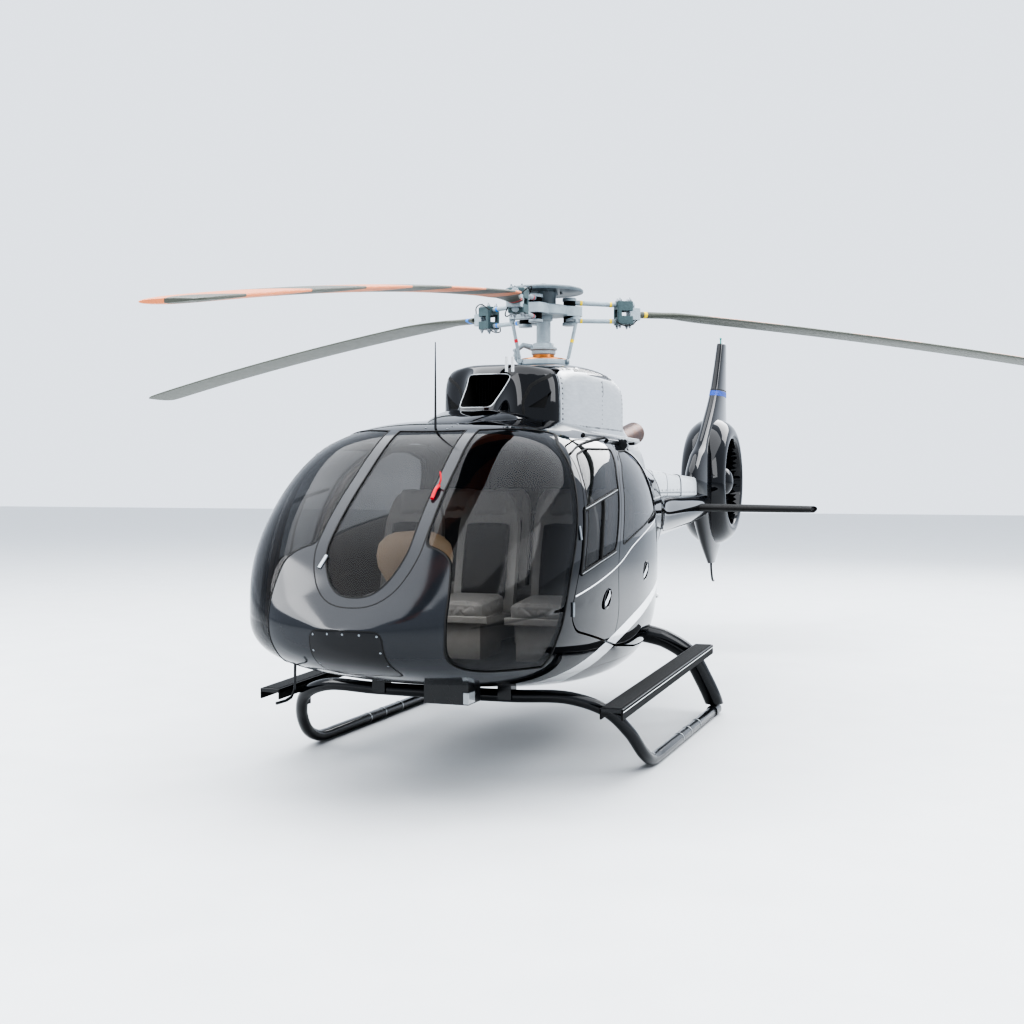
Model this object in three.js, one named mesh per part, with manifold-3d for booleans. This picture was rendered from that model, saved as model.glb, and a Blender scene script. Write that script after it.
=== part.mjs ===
// A light helicopter with a rounded cabin, three rotor blades and a shrouded tail fan.
// Millimetres. X points to the aircraft's left, Y aft and Z up, with the skids on Z = 0.
// The model is drawn with the rotor shaft at X = Y = 0, then moved so that the middle
// of its whole outline is at the origin.
import * as THREE from 'three';
import { mergeVertices } from 'three/addons/utils/BufferGeometryUtils.js';
import Module from 'manifold-3d';

const wasm = await Module();
wasm.setup();

// Driving dimensions
const MIDDLE = { x: -183.13, y: 973.06 };
const SEAM = 0.3;
const WALL = 34;
const GLASS = { inset: 3, thickness: 8 };
const DOOR_GAP = 6;
const SILL_GAP = 6;
const SILL = 655;
const BULKHEAD = -60;
const HULL_SIDES = 28;
const HULL_STEPS = 2;

// Cross-sections of the cabin and rear body, nose to boom.
// Columns: y, half width, lowest z, highest z, z of the widest line, power above, power below
const HULL = [
  [-3400, 10, 1030, 1050, 1040, 2.0, 2.0],
  [-3370, 200, 930, 1080, 1040, 2.6, 2.3],
  [-3260, 520, 840, 1225, 1050, 2.9, 2.4],
  [-3040, 780, 760, 1525, 1075, 3.2, 2.6],
  [-2650, 965, 670, 1855, 1110, 3.45, 2.7],
  [-2150, 1050, 575, 2165, 1140, 3.5, 2.8],
  [-1500, 1070, 480, 2260, 1180, 3.4, 2.9],
  [-900, 1050, 420, 2270, 1200, 3.3, 3.0],
  [-300, 970, 395, 2260, 1230, 3.1, 3.0],
  [300, 815, 455, 2240, 1280, 2.9, 3.0],
  [950, 630, 585, 2190, 1360, 2.7, 2.9],
  [1700, 480, 850, 2080, 1470, 2.6, 2.7],
  [2500, 330, 1080, 1990, 1550, 2.4, 2.5],
];

// Outlines seen from the side, columns: y, z
const DOOR_BAND = [
  [-2421, 985], [-2499, 1079], [-2212, 1730], [-2054, 2050], [-1777, 2103], [-600, 2112], [-250, 2020],
  [-150, 1700], [-170, 1000], [-300, 692], [-930, 727], [-1532, 800],
];
// The seam between the doors leans: y here is where it meets the plane x = SEAM_REFERENCE
const DOOR_SEAM = [
  [-1660, 560], [-1677, 820], [-1711, 1342], [-1570, 1660], [-1409, 1872], [-1050, 2048], [-760, 2170],
];
const SEAM_LEAN = 0.42;
const SEAM_REFERENCE = 1050;
const SEAM_GAP = 9;
const FRONT_WINDOW = [
  [-2330, 1325], [-2175, 1720], [-2110, 1900], [-2010, 2010], [-1770, 2055], [-1230, 2062],
  [-1485, 1872], [-1625, 1650], [-1755, 1415],
];
const REAR_WINDOW = [
  [-1620, 1430], [-1515, 1650], [-1375, 1872], [-1080, 2050], [-700, 2062], [-420, 2010], [-300, 1900],
  [-250, 1720], [-290, 1640], [-1200, 1510],
];
const PANE_EDGE = [
  [-4000, 100], [-2430, 100], [-2430, 720], [-2518, 794], [-2608, 924], [-2582, 1036], [-2484, 1326],
  [-2256, 1795], [-2090, 2050], [-1990, 2100], [-1870, 2145], [-1800, 2330], [-4000, 2330],
];
const BAGGAGE_DOOR = [[120, 900], [760, 1000], [760, 1650], [120, 1690]];
const BAGGAGE_LEAN = { slope: 0.267, reference: 780 };

// Front edge of the roof seen from above, columns: x, y, left half
const ROOF_EDGE = [[1300, -1500], [760, -1850], [650, -1940], [500, -2060], [300, -2150], [100, -2168]];

// Windscreen outlines seen from the front, columns: x, z, left half
const CENTRE_PANE = [
  [228, 2330], [228, 2100], [258, 1500], [250, 1440], [225, 1370], [180, 1290], [120, 1235], [50, 1212],
];
const CENTRE_FRAME = [
  [297, 2330], [297, 2100], [328, 1500], [318, 1425], [288, 1340], [235, 1250], [160, 1190], [70, 1162],
];
const SIDE_PANE = [
  [297, 2330], [297, 2100], [328, 1495], [400, 1475], [462, 1445], [505, 1400], [520, 1330],
  [533, 1210], [530, 1000], [510, 880], [545, 810], [620, 775], [1300, 745], [1300, 2330],
];

// Finishes
function finish(color, roughness, metalness) {
  return new THREE.MeshStandardMaterial({ color, roughness, metalness });
}
const PAINT = finish(0x0c0f16, 0.12, 0.0);
const TRIM = finish(0x2a2c2f, 0.35, 0.0);
const GLAZING = finish(0x2c3540, 0.05, 0.0);
const BARE_METAL = finish(0xb8bbbe, 0.35, 0.9);
const GREY_METAL = finish(0x9aa0a4, 0.45, 0.5);
const DARK_METAL = finish(0x23272a, 0.4, 0.4);
const TUBE_PAINT = finish(0x15171a, 0.2, 0.1);
const BLADE_SKIN = finish(0x4a4d47, 0.5, 0.1);
const SEAT_SHELL = finish(0xb9b4aa, 0.7, 0.0);
const FLOORING = finish(0x4b4a48, 0.9, 0.0);

const root = new THREE.Group();
root.position.set(-MIDDLE.x, -MIDDLE.y, 0);
const helicopter = new THREE.Group();
helicopter.add(root);

// Turning geometry into solids and back
function solidOf(source) {
  const bare = source.index ? source.clone() : source;
  bare.deleteAttribute('normal');
  bare.deleteAttribute('uv');
  const merged = mergeVertices(bare, 1e-3);
  const points = Float32Array.from(merged.attributes.position.array);
  const triangles = Uint32Array.from(merged.index.array);
  const corner = (i) => new THREE.Vector3().fromArray(points, 3 * triangles[i]);
  let volume = 0;
  for (let i = 0; i < triangles.length; i += 3) {
    volume += corner(i).dot(corner(i + 1).cross(corner(i + 2)));
  }
  if (volume < 0) {
    for (let i = 0; i < triangles.length; i += 3) {
      [triangles[i], triangles[i + 1]] = [triangles[i + 1], triangles[i]];
    }
  }
  return new wasm.Manifold(new wasm.Mesh({ numProp: 3, vertProperties: points, triVerts: triangles }));
}

function geometryOf(solid) {
  const mesh = solid.getMesh();
  const geometry = new THREE.BufferGeometry();
  geometry.setAttribute('position', new THREE.BufferAttribute(Float32Array.from(mesh.vertProperties), 3));
  geometry.setIndex(new THREE.BufferAttribute(Uint32Array.from(mesh.triVerts), 1));
  geometry.computeVertexNormals();
  return geometry;
}

function place(name, solid, material, parent = root) {
  const mesh = new THREE.Mesh(geometryOf(solid), material);
  mesh.name = name;
  parent.add(mesh);
  return mesh;
}

// Outlines
function rounded(points, radius, steps = 2) {
  const result = [];
  points.forEach((corner, i) => {
    const here = new THREE.Vector2(...corner);
    const ends = [points.at(i - 1), points[(i + 1) % points.length]].map((other) => {
      const along = new THREE.Vector2(...other).sub(here);
      const reach = Math.min(radius, along.length() * 0.45);
      return here.clone().add(along.setLength(reach));
    });
    const arc = new THREE.QuadraticBezierCurve(ends[0], here, ends[1]);
    arc.getPoints(steps).forEach((p) => result.push([p.x, p.y]));
  });
  return result;
}

function grown(points, distance) {
  const turn = Math.sign(THREE.ShapeUtils.area(points.map((p) => new THREE.Vector2(...p))));
  return points.map((corner, i) => {
    const here = new THREE.Vector2(...corner);
    const before = here.clone().sub(new THREE.Vector2(...points.at(i - 1))).normalize();
    const after = new THREE.Vector2(...points[(i + 1) % points.length]).sub(here).normalize();
    const out = new THREE.Vector2(before.y + after.y, -before.x - after.x).multiplyScalar(turn);
    const push = 2 * distance / out.lengthSq();
    return [here.x + out.x * push, here.y + out.y * push];
  });
}

const mirrored = (half) => [...half, ...half.map(([x, other]) => [-x, other]).reverse()];

// A prism of an outline that runs along one axis from one coordinate to another
function prism(axis, outline, from, to, change = new THREE.Matrix4()) {
  const shape = new THREE.Shape(outline.map((p) => new THREE.Vector2(...p)));
  const geometry = new THREE.ExtrudeGeometry(shape, { depth: to - from, bevelEnabled: false });
  const position = geometry.attributes.position;
  const order = { x: (u, v, w) => [w, u, v], y: (u, v, w) => [u, w, v], z: (u, v, w) => [u, v, w] }[axis];
  for (let i = 0; i < position.count; i++) {
    const w = position.getZ(i) + from;
    position.setXYZ(i, ...order(position.getX(i), position.getY(i), w));
  }
  geometry.applyMatrix4(change);
  return solidOf(geometry);
}

function box(x, y, z) {
  const geometry = new THREE.BoxGeometry(x[1] - x[0], y[1] - y[0], z[1] - z[0]);
  geometry.translate((x[0] + x[1]) / 2, (y[0] + y[1]) / 2, (z[0] + z[1]) / 2);
  return solidOf(geometry);
}

// A closed body through a row of rings with equal numbers of points
function loft(rings) {
  const count = rings[0].length;
  const points = rings.flat().flatMap((p) => [p.x, p.y, p.z]);
  const triangles = [];
  for (let i = 0; i + 1 < rings.length; i++) {
    for (let j = 0; j < count; j++) {
      const a = i * count + j;
      const b = i * count + (j + 1) % count;
      triangles.push(a, b, a + count, b, b + count, a + count);
    }
  }
  [0, rings.length - 1].forEach((i) => {
    const middle = rings[i].reduce((sum, p) => sum.add(p), new THREE.Vector3()).divideScalar(count);
    const hub = points.length / 3;
    points.push(middle.x, middle.y, middle.z);
    for (let j = 0; j < count; j++) {
      const pair = [i * count + j, i * count + (j + 1) % count];
      triangles.push(hub, ...(i === 0 ? pair.reverse() : pair));
    }
  });
  const geometry = new THREE.BufferGeometry();
  geometry.setAttribute('position', new THREE.Float32BufferAttribute(points, 3));
  geometry.setIndex(triangles);
  return solidOf(geometry);
}

// A bar of round section along a smooth curve through points
function bar(points, radius, steps, sides = 10) {
  const path = new THREE.CatmullRomCurve3(points.map((p) => new THREE.Vector3(...p)), false, 'centripetal');
  const shape = new THREE.Shape().absarc(0, 0, radius, 0, 2 * Math.PI);
  return solidOf(new THREE.ExtrudeGeometry(shape, { steps, curveSegments: sides / 2, extrudePath: path }));
}

function rod(from, to, radius, sides = 12, endRadius = radius) {
  const a = new THREE.Vector3(...from);
  const b = new THREE.Vector3(...to);
  const geometry = new THREE.CylinderGeometry(endRadius, radius, a.distanceTo(b), sides);
  const along = b.clone().sub(a).normalize();
  geometry.applyQuaternion(new THREE.Quaternion().setFromUnitVectors(new THREE.Vector3(0, 1, 0), along));
  geometry.translate(...a.add(b).multiplyScalar(0.5).toArray());
  return solidOf(geometry);
}

// A turned body about the vertical rotor shaft, columns: radius, z
function turned(profile, sides) {
  const geometry = new THREE.LatheGeometry(profile.map((p) => new THREE.Vector2(...p)), sides);
  geometry.rotateX(Math.PI / 2);
  return solidOf(geometry);
}

const joined = (parts) => parts.reduce((all, part) => all.add(part));

// The hull surface
function rowAt(table, t) {
  const last = table.length - 1;
  const i = Math.min(Math.floor(t), last - 1);
  const f = t - i;
  const [b, c] = [table[i], table[i + 1]];
  const a = i > 0 ? table[i - 1] : b.map((v, k) => 2 * v - c[k]);
  const d = i + 2 <= last ? table[i + 2] : c.map((v, k) => 2 * v - b[k]);
  return b.map((v, k) => 0.5 * (2 * v + (c[k] - a[k]) * f + (2 * a[k] - 5 * v + 4 * c[k] - d[k]) * f ** 2
    + (3 * v - a[k] - 3 * c[k] + d[k]) * f ** 3));
}

function sectionPoint(row, angle) {
  const [y, halfWidth, bottom, top, widest, above, below] = row;
  const [c, s] = [Math.cos(angle), Math.sin(angle)];
  const power = s >= 0 ? above : below;
  const reach = (Math.abs(c) ** power + Math.abs(s) ** power) ** (-1 / power);
  const height = s >= 0 ? top - widest : widest - bottom;
  return new THREE.Vector3(halfWidth * reach * c, y, widest + height * reach * s);
}

function hullPoint(t, angle, inset) {
  const small = 1e-3;
  const last = HULL.length - 1;
  const at = (row, turn) => sectionPoint(rowAt(HULL, Math.max(0, Math.min(last, row))), turn);
  const along = at(t + small, angle).sub(at(t - small, angle));
  const around = at(t, angle + small).sub(at(t, angle - small));
  const out = along.cross(around).normalize();
  return at(t, angle).addScaledVector(out, -inset);
}

function hull(inset) {
  const rows = (HULL.length - 1) * HULL_STEPS;
  const rings = [];
  for (let i = 0; i <= rows; i++) {
    const angles = Array.from({ length: HULL_SIDES }, (_, j) => 2 * Math.PI * j / HULL_SIDES);
    rings.push(angles.map((angle) => hullPoint(i / HULL_STEPS, angle, inset)));
  }
  return loft(rings);
}

const skin = hull(0);
const wall = skin.subtract(hull(WALL));
const glassLayer = hull(GLASS.inset).subtract(hull(GLASS.inset + GLASS.thickness));
const postLayer = hull(WALL + DOOR_GAP).subtract(hull(WALL + 34));
const side = { left: 1, right: -1 };
const half = (sign) => box(sign > 0 ? [50, 3000] : [-3000, -50], [-5000, 9000], [0, 4000]);

// Windscreen, nose and roof
const roofOutline = [...mirrored(ROOF_EDGE), [-1300, 500], [1300, 500]];
const roofFront = (grow) => prism('z', grown(roofOutline, grow), 1900, 2500);
const frontOf = (shrink) => prism('x', grown(PANE_EDGE, -shrink), -1500, 1500).subtract(roofFront(shrink));
const front = frontOf(0);
const frontInset = frontOf(SEAM);
const centreFrame = (grow) => prism('y', grown(mirrored(CENTRE_FRAME), grow), -3600, -1500);
const centrePane = (grow) => prism('y', grown(mirrored(CENTRE_PANE), grow), -3600, -1500);
const sidePane = (sign, grow) => {
  const outline = grown(SIDE_PANE, grow).map(([x, z]) => [sign * x, z]);
  return prism('y', outline, -3600, -1500);
};

place('windscreen_frame', wall.intersect(frontInset).intersect(centreFrame(-SEAM)).subtract(centrePane(0)),
  TRIM);
place('windscreen_centre', glassLayer.intersect(frontInset).intersect(centrePane(-SEAM)), GLAZING);
for (const [name, sign] of Object.entries(side)) {
  place(`windscreen_${name}`, glassLayer.intersect(frontInset).intersect(sidePane(sign, -SEAM)), GLAZING);
}
place('nose_shell', wall.intersect(frontInset).subtract(centreFrame(0)).subtract(sidePane(1, 0))
  .subtract(sidePane(-1, 0)), PAINT);

const doorBand = rounded(DOOR_BAND, 70);
const doorOpening = (drop) => prism('x', grown(doorBand, DOOR_GAP), -1500, 1500,
  new THREE.Matrix4().makeTranslation(0, 0, -drop));
const doorway = doorOpening(0).add(doorOpening(SILL_GAP));

// Doors: one band on each side, parted by a leaning seam
const DOOR_HINGE = { x: 1036, y: -2494, z: 1110, slope: 0.4, knuckles: [1110, 1530] };
const HINGE = { radius: 8, half: 17, outer: 36, lug: 5 };

// Slides what is drawn for x > 0 aft as x grows, then mirrors it to its own side
function leaning(sign, slope, reference) {
  return new THREE.Matrix4().makeShear(slope, 0, 0, 0, 0, 0)
    .premultiply(new THREE.Matrix4().makeTranslation(0, -slope * reference, 0))
    .premultiply(new THREE.Matrix4().makeScale(sign, 1, 1));
}

function seamSide(sign, towards) {
  const outline = [...DOOR_SEAM, [towards * 4000, 2170], [towards * 4000, 560]];
  return prism('x', grown(outline, -SEAM_GAP / 2), 0, 1500, leaning(sign, SEAM_LEAN, SEAM_REFERENCE));
}

// Knuckles and lugs of one hinge line: [those of the leaf, those of the frame]
function hinge(spots) {
  const leaf = [];
  const frame = [];
  for (const { at, along, leafRoot, frameRoots } of spots) {
    const on = (reach) => at.map((v, k) => v + along[k] * reach);
    leaf.push(rod(on(-HINGE.half), on(HINGE.half), HINGE.radius, 8));
    leaf.push(rod(at, leafRoot, HINGE.lug, 5));
    [-1, 1].forEach((end, i) => {
      frame.push(rod(on(end * (HINGE.half + SEAM)), on(end * HINGE.outer), HINGE.radius, 8));
      frame.push(rod(on(end * (HINGE.half + HINGE.outer) / 2), frameRoots[i], HINGE.lug, 5));
    });
  }
  return [joined(leaf), joined(frame)];
}

function sectionAt(y) {
  let [low, high] = [0, HULL.length - 1];
  for (let i = 0; i < 40; i++) {
    const middle = (low + high) / 2;
    if (rowAt(HULL, middle)[0] < y) low = middle;
    else high = middle;
  }
  return rowAt(HULL, low);
}

// Distance of the skin from the centre plane at a height on one station
function skinX(y, z) {
  const [, halfWidth, bottom, top, widest, above, below] = sectionAt(y);
  const power = z >= widest ? above : below;
  const height = z >= widest ? top - widest : widest - bottom;
  return halfWidth * (1 - Math.min(1, Math.abs(z - widest) / height) ** power) ** (1 / power);
}

const doorAxis = [0, DOOR_HINGE.slope, 1].map((v, k, all) => v / Math.hypot(...all));
const canopyHinges = [];
const DOOR_POST = [
  [-1745, 690 + SEAM], [-1650, 690 + SEAM], [-1650, 1400], [-1530, 1650], [-1390, 1872], [-1060, 2060],
  [-960, 2140], [-1090, 2140], [-1180, 2060], [-1490, 1872], [-1640, 1650], [-1760, 1400],
];
const postRoot = hull(WALL + SEAM).subtract(hull(WALL + DOOR_GAP + 1)).subtract(doorway);
const windows = { front: rounded(FRONT_WINDOW, 45), rear: rounded(REAR_WINDOW, 60) };
for (const [name, sign] of Object.entries(side)) {
  const flank = half(sign);
  const band = wall.intersect(flank).intersect(prism('x', doorBand, -1500, 1500));
  const seated = prism('x', grown(doorBand, DOOR_GAP - SEAM), -1500, 1500);
  const seatedBand = wall.intersect(flank).intersect(seated);
  const spots = DOOR_HINGE.knuckles.map((z) => {
    const at = [sign * DOOR_HINGE.x, DOOR_HINGE.y + DOOR_HINGE.slope * (z - DOOR_HINGE.z), z];
    const root = (dy, dz) => {
      const spot = [at[1] + dy, z + dz];
      return [sign * (skinX(...spot) - WALL / 2), ...spot];
    };
    const reach = (HINGE.half + HINGE.outer) / 2;
    return { at, along: doorAxis, leafRoot: root(50, 0), frameRoots: [root(-26, -reach), root(-26, reach)] };
  });
  const [leaf, frame] = hinge(spots);
  canopyHinges.push(frame);
  for (const [which, towards] of [['front', -1], ['rear', 1]]) {
    const outline = windows[which];
    const opening = prism('x', outline, -1500, 1500);
    const pane = prism('x', grown(outline, -SEAM), -1500, 1500);
    const whole = which === 'front' ? band : seatedBand;
    let door = whole.intersect(seamSide(sign, towards)).subtract(opening);
    if (which === 'front') door = door.add(leaf);
    place(`${which}_door_${name}`, door, PAINT);
    place(`${which}_door_glass_${name}`, glassLayer.intersect(flank).intersect(pane), GLAZING);
  }
  const post = prism('x', DOOR_POST, -1500, 1500).intersect(flank);
  place(`door_post_${name}`, postLayer.add(postRoot).intersect(post), TRIM);
}

// Canopy frame with the fixed halves of the door hinges, and the lower body
const aboveSill = box([-1500, 1500], [-3500, BULKHEAD], [SILL, 2500]);
const canopy = wall.intersect(aboveSill).subtract(front).subtract(doorway);
place('canopy_frame', canopyHinges.reduce((all, part) => all.add(part), canopy), PAINT);
const belowSill = box([-1500, 1500], [-3500, BULKHEAD], [100, SILL - SEAM]);
place('belly_shell', wall.intersect(belowSill).subtract(front).subtract(doorway), PAINT);

// Cabin floor
const floorLevel = { top: 690, thickness: 30 };
const inside = hull(WALL + 8);
const floorBox = box([-1500, 1500], [-3500, BULKHEAD],
  [floorLevel.top - floorLevel.thickness, floorLevel.top]);
place('cabin_floor', inside.intersect(floorBox), FLOORING);

// Rear body: a hollow shell with a bulkhead, an engine deck, baggage doorways and cross tube holes
const REAR_TUBE = [
  [-1205, 660, 75], [-1200, 620, 124], [-1142, 550, 287], [-1046, 450, 491], [-895, 350, 612],
  [-800, 300, 650], [-600, 270, 680],
];
const wholeArch = (points) => [...points, ...points.map(([x, y, z]) => [-x, y, z]).reverse()];
const TUBE = { leg: 36, skid: 40, halfTrack: 1205 };
const rearArch = (extra) => {
  const [[x, y, z], ...rest] = REAR_TUBE;
  return bar(wholeArch([[x, y + extra, z - extra], ...rest]), TUBE.leg + extra, 22);
};
const EXHAUST = { radius: 105, wall: 9, floor: 30, from: [0, 2010, 2170], to: [0, 2720, 2290] };
// A rod on the exhaust's line whose ends are moved aft by the two shifts
const exhaustRod = (radius, startShift = 0, endShift = 0) => {
  const [a, b] = [EXHAUST.from, EXHAUST.to].map((p) => new THREE.Vector3(...p));
  const along = b.clone().sub(a).normalize();
  return rod(a.addScaledVector(along, startShift).toArray(), b.addScaledVector(along, endShift).toArray(),
    radius, 24);
};
const ENGINE_BAY = { x: 300, y: [780, 2020], z: 1900 };
const baggageOutline = rounded(BAGGAGE_DOOR, 60);
const baggagePrism = (sign, grow) => prism('x', grown(baggageOutline, grow), 0, 1500,
  leaning(sign, BAGGAGE_LEAN.slope, BAGGAGE_LEAN.reference));
const bayHole = baggagePrism(1, DOOR_GAP).add(baggagePrism(-1, DOOR_GAP))
  .subtract(box([-250, 250], [-300, 1500], [500, 2500]));
const rearSpan = box([-1500, 1500], [BULKHEAD + SEAM, 2500], [100, 2500]);
const bulkhead = box([-1500, 1500], [BULKHEAD + SEAM, BULKHEAD + WALL], [100, 2500]);
const engineDeck = box([-1500, 1500], [BULKHEAD + SEAM, 2150], [ENGINE_BAY.z - WALL, ENGINE_BAY.z]);
let rearBody = joined([wall.intersect(rearSpan), skin.intersect(bulkhead), skin.intersect(engineDeck)]);
rearBody = rearBody.subtract(bayHole).subtract(rearArch(SEAM));
rearBody = rearBody.subtract(exhaustRod(EXHAUST.radius + DOOR_GAP, -70, 70));
rearBody = rearBody.subtract(box([-ENGINE_BAY.x, ENGINE_BAY.x], ENGINE_BAY.y, [ENGINE_BAY.z, 2500]));
const BAGGAGE_HINGE = [[864, 113, 1702], [690, 767, 1662]];
for (const [name, sign] of Object.entries(side)) {
  const [p, q] = BAGGAGE_HINGE.map(([x, y, z]) => [sign * x, y, z]);
  const length = Math.hypot(...q.map((v, k) => v - p[k]));
  const along = q.map((v, k) => (v - p[k]) / length);
  const spots = [0.2, 0.8].map((share) => {
    const at = p.map((v, k) => v + (q[k] - v) * share);
    const root = (reach, dz) => {
      const spot = [at[1] + along[1] * reach, at[2] + along[2] * reach + dz];
      return [sign * (skinX(...spot) - WALL / 2), ...spot];
    };
    const reach = (HINGE.half + HINGE.outer) / 2;
    return { at, along, leafRoot: root(0, -34), frameRoots: [root(-reach, 24), root(reach, 24)] };
  });
  const [leaf, frame] = hinge(spots);
  rearBody = rearBody.add(frame);
  const panel = wall.intersect(half(sign)).intersect(baggagePrism(sign, 0));
  place(`baggage_door_${name}`, panel.add(leaf), PAINT);
}
place('rear_body', rearBody, PAINT);

// Upper cowls, columns: y, half width, base z, top z, power
const GEARBOX_COWL = [
  [-1490, 140, 2150, 2315, 4], [-1150, 190, 2150, 2620, 5], [-940, 425, 2150, 2650, 7],
  [-500, 455, 2150, 2690, 9], [0, 460, 2150, 2700, 9], [400, 455, 2150, 2680, 9],
  [680, 445, 2100, 2630, 9],
];
const ENGINE_COWL = [
  [681, 430, 2000, 2560, 3.5], [1000, 400, 1980, 2430, 3], [1500, 350, 1940, 2290, 2.6],
  [2000, 290, 1900, 2240, 2.4], [2350, 215, 1850, 2190, 2.2],
];
const INTAKE = [[-115, 2335], [115, 2335], [155, 2575], [-155, 2575]];

function cowl(table, inset, steps = 2, sides = 14) {
  const rings = [];
  for (let i = 0; i <= (table.length - 1) * steps; i++) {
    const [y, halfWidth, base, top, power] = rowAt(table, i / steps);
    const ring = [];
    for (let j = 0; j <= sides; j++) {
      const [c, s] = [Math.cos(Math.PI * j / sides), Math.sin(Math.PI * j / sides)];
      const reach = (Math.abs(c) ** power + Math.abs(s) ** power) ** (-1 / power);
      const height = top - inset - base;
      ring.push(new THREE.Vector3((halfWidth - inset) * reach * c, y, base + height * reach * s));
    }
    rings.push(ring);
  }
  return loft(rings);
}

const roofSkin = hull(-SEAM);
const MAST_HOUSING = [[0, 2640], [235, 2640], [235, 2700], [200, 2712], [0, 2712]];
const MAST_FOOT = 2690;
place('gearbox_cowl', cowl(GEARBOX_COWL, 0).subtract(roofSkin).subtract(prism('y', INTAKE, -1700, -850))
  .subtract(turned([[0, 2600], [235 + SEAM, 2600], [235 + SEAM, 2900], [0, 2900]], 32)), BARE_METAL);
place('mast_housing', turned(MAST_HOUSING, 32)
  .subtract(turned([[0, MAST_FOOT], [66, MAST_FOOT], [66, 2900], [0, 2900]], 24)), GREY_METAL);
const engineHollow = cowl(ENGINE_COWL, 26).subtract(box([-600, 600], [2330, 2600], [1500, 2700]));
place('engine_cowl', cowl(ENGINE_COWL, 0).subtract(roofSkin).subtract(engineHollow)
  .subtract(exhaustRod(EXHAUST.radius + SEAM, -700, 700)), BARE_METAL);
place('engine_block', box([-200, 200], [820, 1800], [ENGINE_BAY.z + SEAM, 2120]), DARK_METAL);
place('exhaust_pipe', exhaustRod(EXHAUST.radius)
  .subtract(exhaustRod(EXHAUST.radius - EXHAUST.wall, EXHAUST.floor, 100)), DARK_METAL);

// Tail boom, columns: y, half width, bottom z, top z
const BOOM = [
  [2500 + SEAM, 325, 1085, 1988], [2750, 290, 1195, 1840], [3050, 262, 1262, 1715],
  [3800, 240, 1300, 1700], [4750, 208, 1345, 1690], [5350, 175, 1390, 1690], [5760, 135, 1430, 1690],
];
function boomRing([y, halfWidth, bottom, top], sides = 16) {
  return Array.from({ length: sides }, (_, j) => {
    const angle = 2 * Math.PI * j / sides;
    return sectionPoint([y, halfWidth, bottom, top, (bottom + top) / 2, 2.4, 2.4], angle);
  });
}
const FAN = { y: 6520, z: 1820, duct: 508, lip: 575, outer: 775, sides: 30 };
const turnX = (profile, sides) => {
  const geometry = new THREE.LatheGeometry(profile.map((p) => new THREE.Vector2(...p)), sides);
  geometry.rotateZ(-Math.PI / 2);
  geometry.translate(0, FAN.y, FAN.z);
  return solidOf(geometry);
};

// Fin, columns: z, leading edge y, trailing edge y, half thickness
const FIN = [
  [830, 6300, 6640, 35], [1100, 5930, 6950, 90], [1450, 5560, 7160, 140], [1820, 5200, 7230, 155],
  [2100, 5420, 7240, 145], [2304, 5774, 7240, 120], [2810, 6400, 7245, 85], [3200, 6690, 7260, 66],
  [3490, 6860, 7270, 54], [3532, 6885, 7268, 50],
];
function foilRing(at, lead, trail, thick, sides = 14) {
  return Array.from({ length: sides }, (_, j) => {
    const angle = 2 * Math.PI * j / sides;
    const share = (1 - Math.cos(angle)) / 2;
    const bulge = Math.sqrt(share) * (1.15 - share) * 1.75;
    const depth = Math.sign(Math.sin(angle)) * bulge + 0.08 * Math.sin(angle);
    return at(lead + (trail - lead) * share, thick * depth);
  });
}
const DUCT_RING = [
  [FAN.duct, -215], [FAN.lip, -264], [650, -245], [740, -145], [FAN.outer, 0], [740, 145], [650, 245],
  [FAN.lip, 264], [FAN.duct, 215], [FAN.duct, -215],
];
const DUCT_BORE = [[0, -400], [FAN.duct, -400], [FAN.duct, 400], [0, 400]];
const BOOM_END = 5150;
const BOOM_WALL = 20;
const finBody = loft(FIN.map(([z, lead, trail, thick]) => foilRing((y, x) => new THREE.Vector3(x, y, z),
  lead, trail, thick)));
const boom = loft(BOOM.map((row) => boomRing(row)));
const boomHollow = loft(BOOM.map(([y, halfWidth, bottom, top], i) =>
  boomRing([i === 0 ? 2400 : y, halfWidth - BOOM_WALL, bottom + BOOM_WALL, top - BOOM_WALL])));
// Lamp and aerial on top of the fin, columns: y, top z, radius
const FIN_FITTINGS = [[6985, 3611, 13], [7190, 3575, 17]];
const finFittings = joined(FIN_FITTINGS.map(([y, top, radius]) => rod([0, y, 3500], [0, y, top], radius, 10)));
const boomSpan = box([-800, 800], [2450, BOOM_END], [500, 2500]);
place('tail_boom', boom.intersect(boomSpan).subtract(boomHollow), PAINT);
place('tail_fin', boom.intersect(box([-800, 800], [BOOM_END + SEAM, 6000], [500, 2500])).add(finBody)
  .add(turnX(DUCT_RING, FAN.sides)).subtract(turnX(DUCT_BORE, FAN.sides)).add(finFittings), PAINT);

// Fixed vanes and gearbox pod behind the fan
const VANES = { count: 9, first: 0.2, from: 95, to: 503.9, width: 70, thickness: 10, x: -75, twist: -0.3 };
function radial(make, count, first = 0) {
  return joined(Array.from({ length: count }, (_, i) => make(first + 2 * Math.PI * i / count)));
}
function fanBlade(angle, { from, to, width, thickness, x, twist }) {
  const geometry = new THREE.BoxGeometry(thickness, width, to - from);
  geometry.rotateZ(twist);
  geometry.translate(0, 0, (from + to) / 2);
  geometry.rotateX(angle);
  geometry.translate(x, FAN.y, FAN.z);
  return solidOf(geometry);
}
const POD = [[0, -230], [60, -215], [100, -150], [105, -35], [0, -35]];
const vanes = radial((angle) => fanBlade(angle, VANES), VANES.count, VANES.first);
place('fan_stator', vanes.add(turnX(POD, 24)), GREY_METAL);

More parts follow.
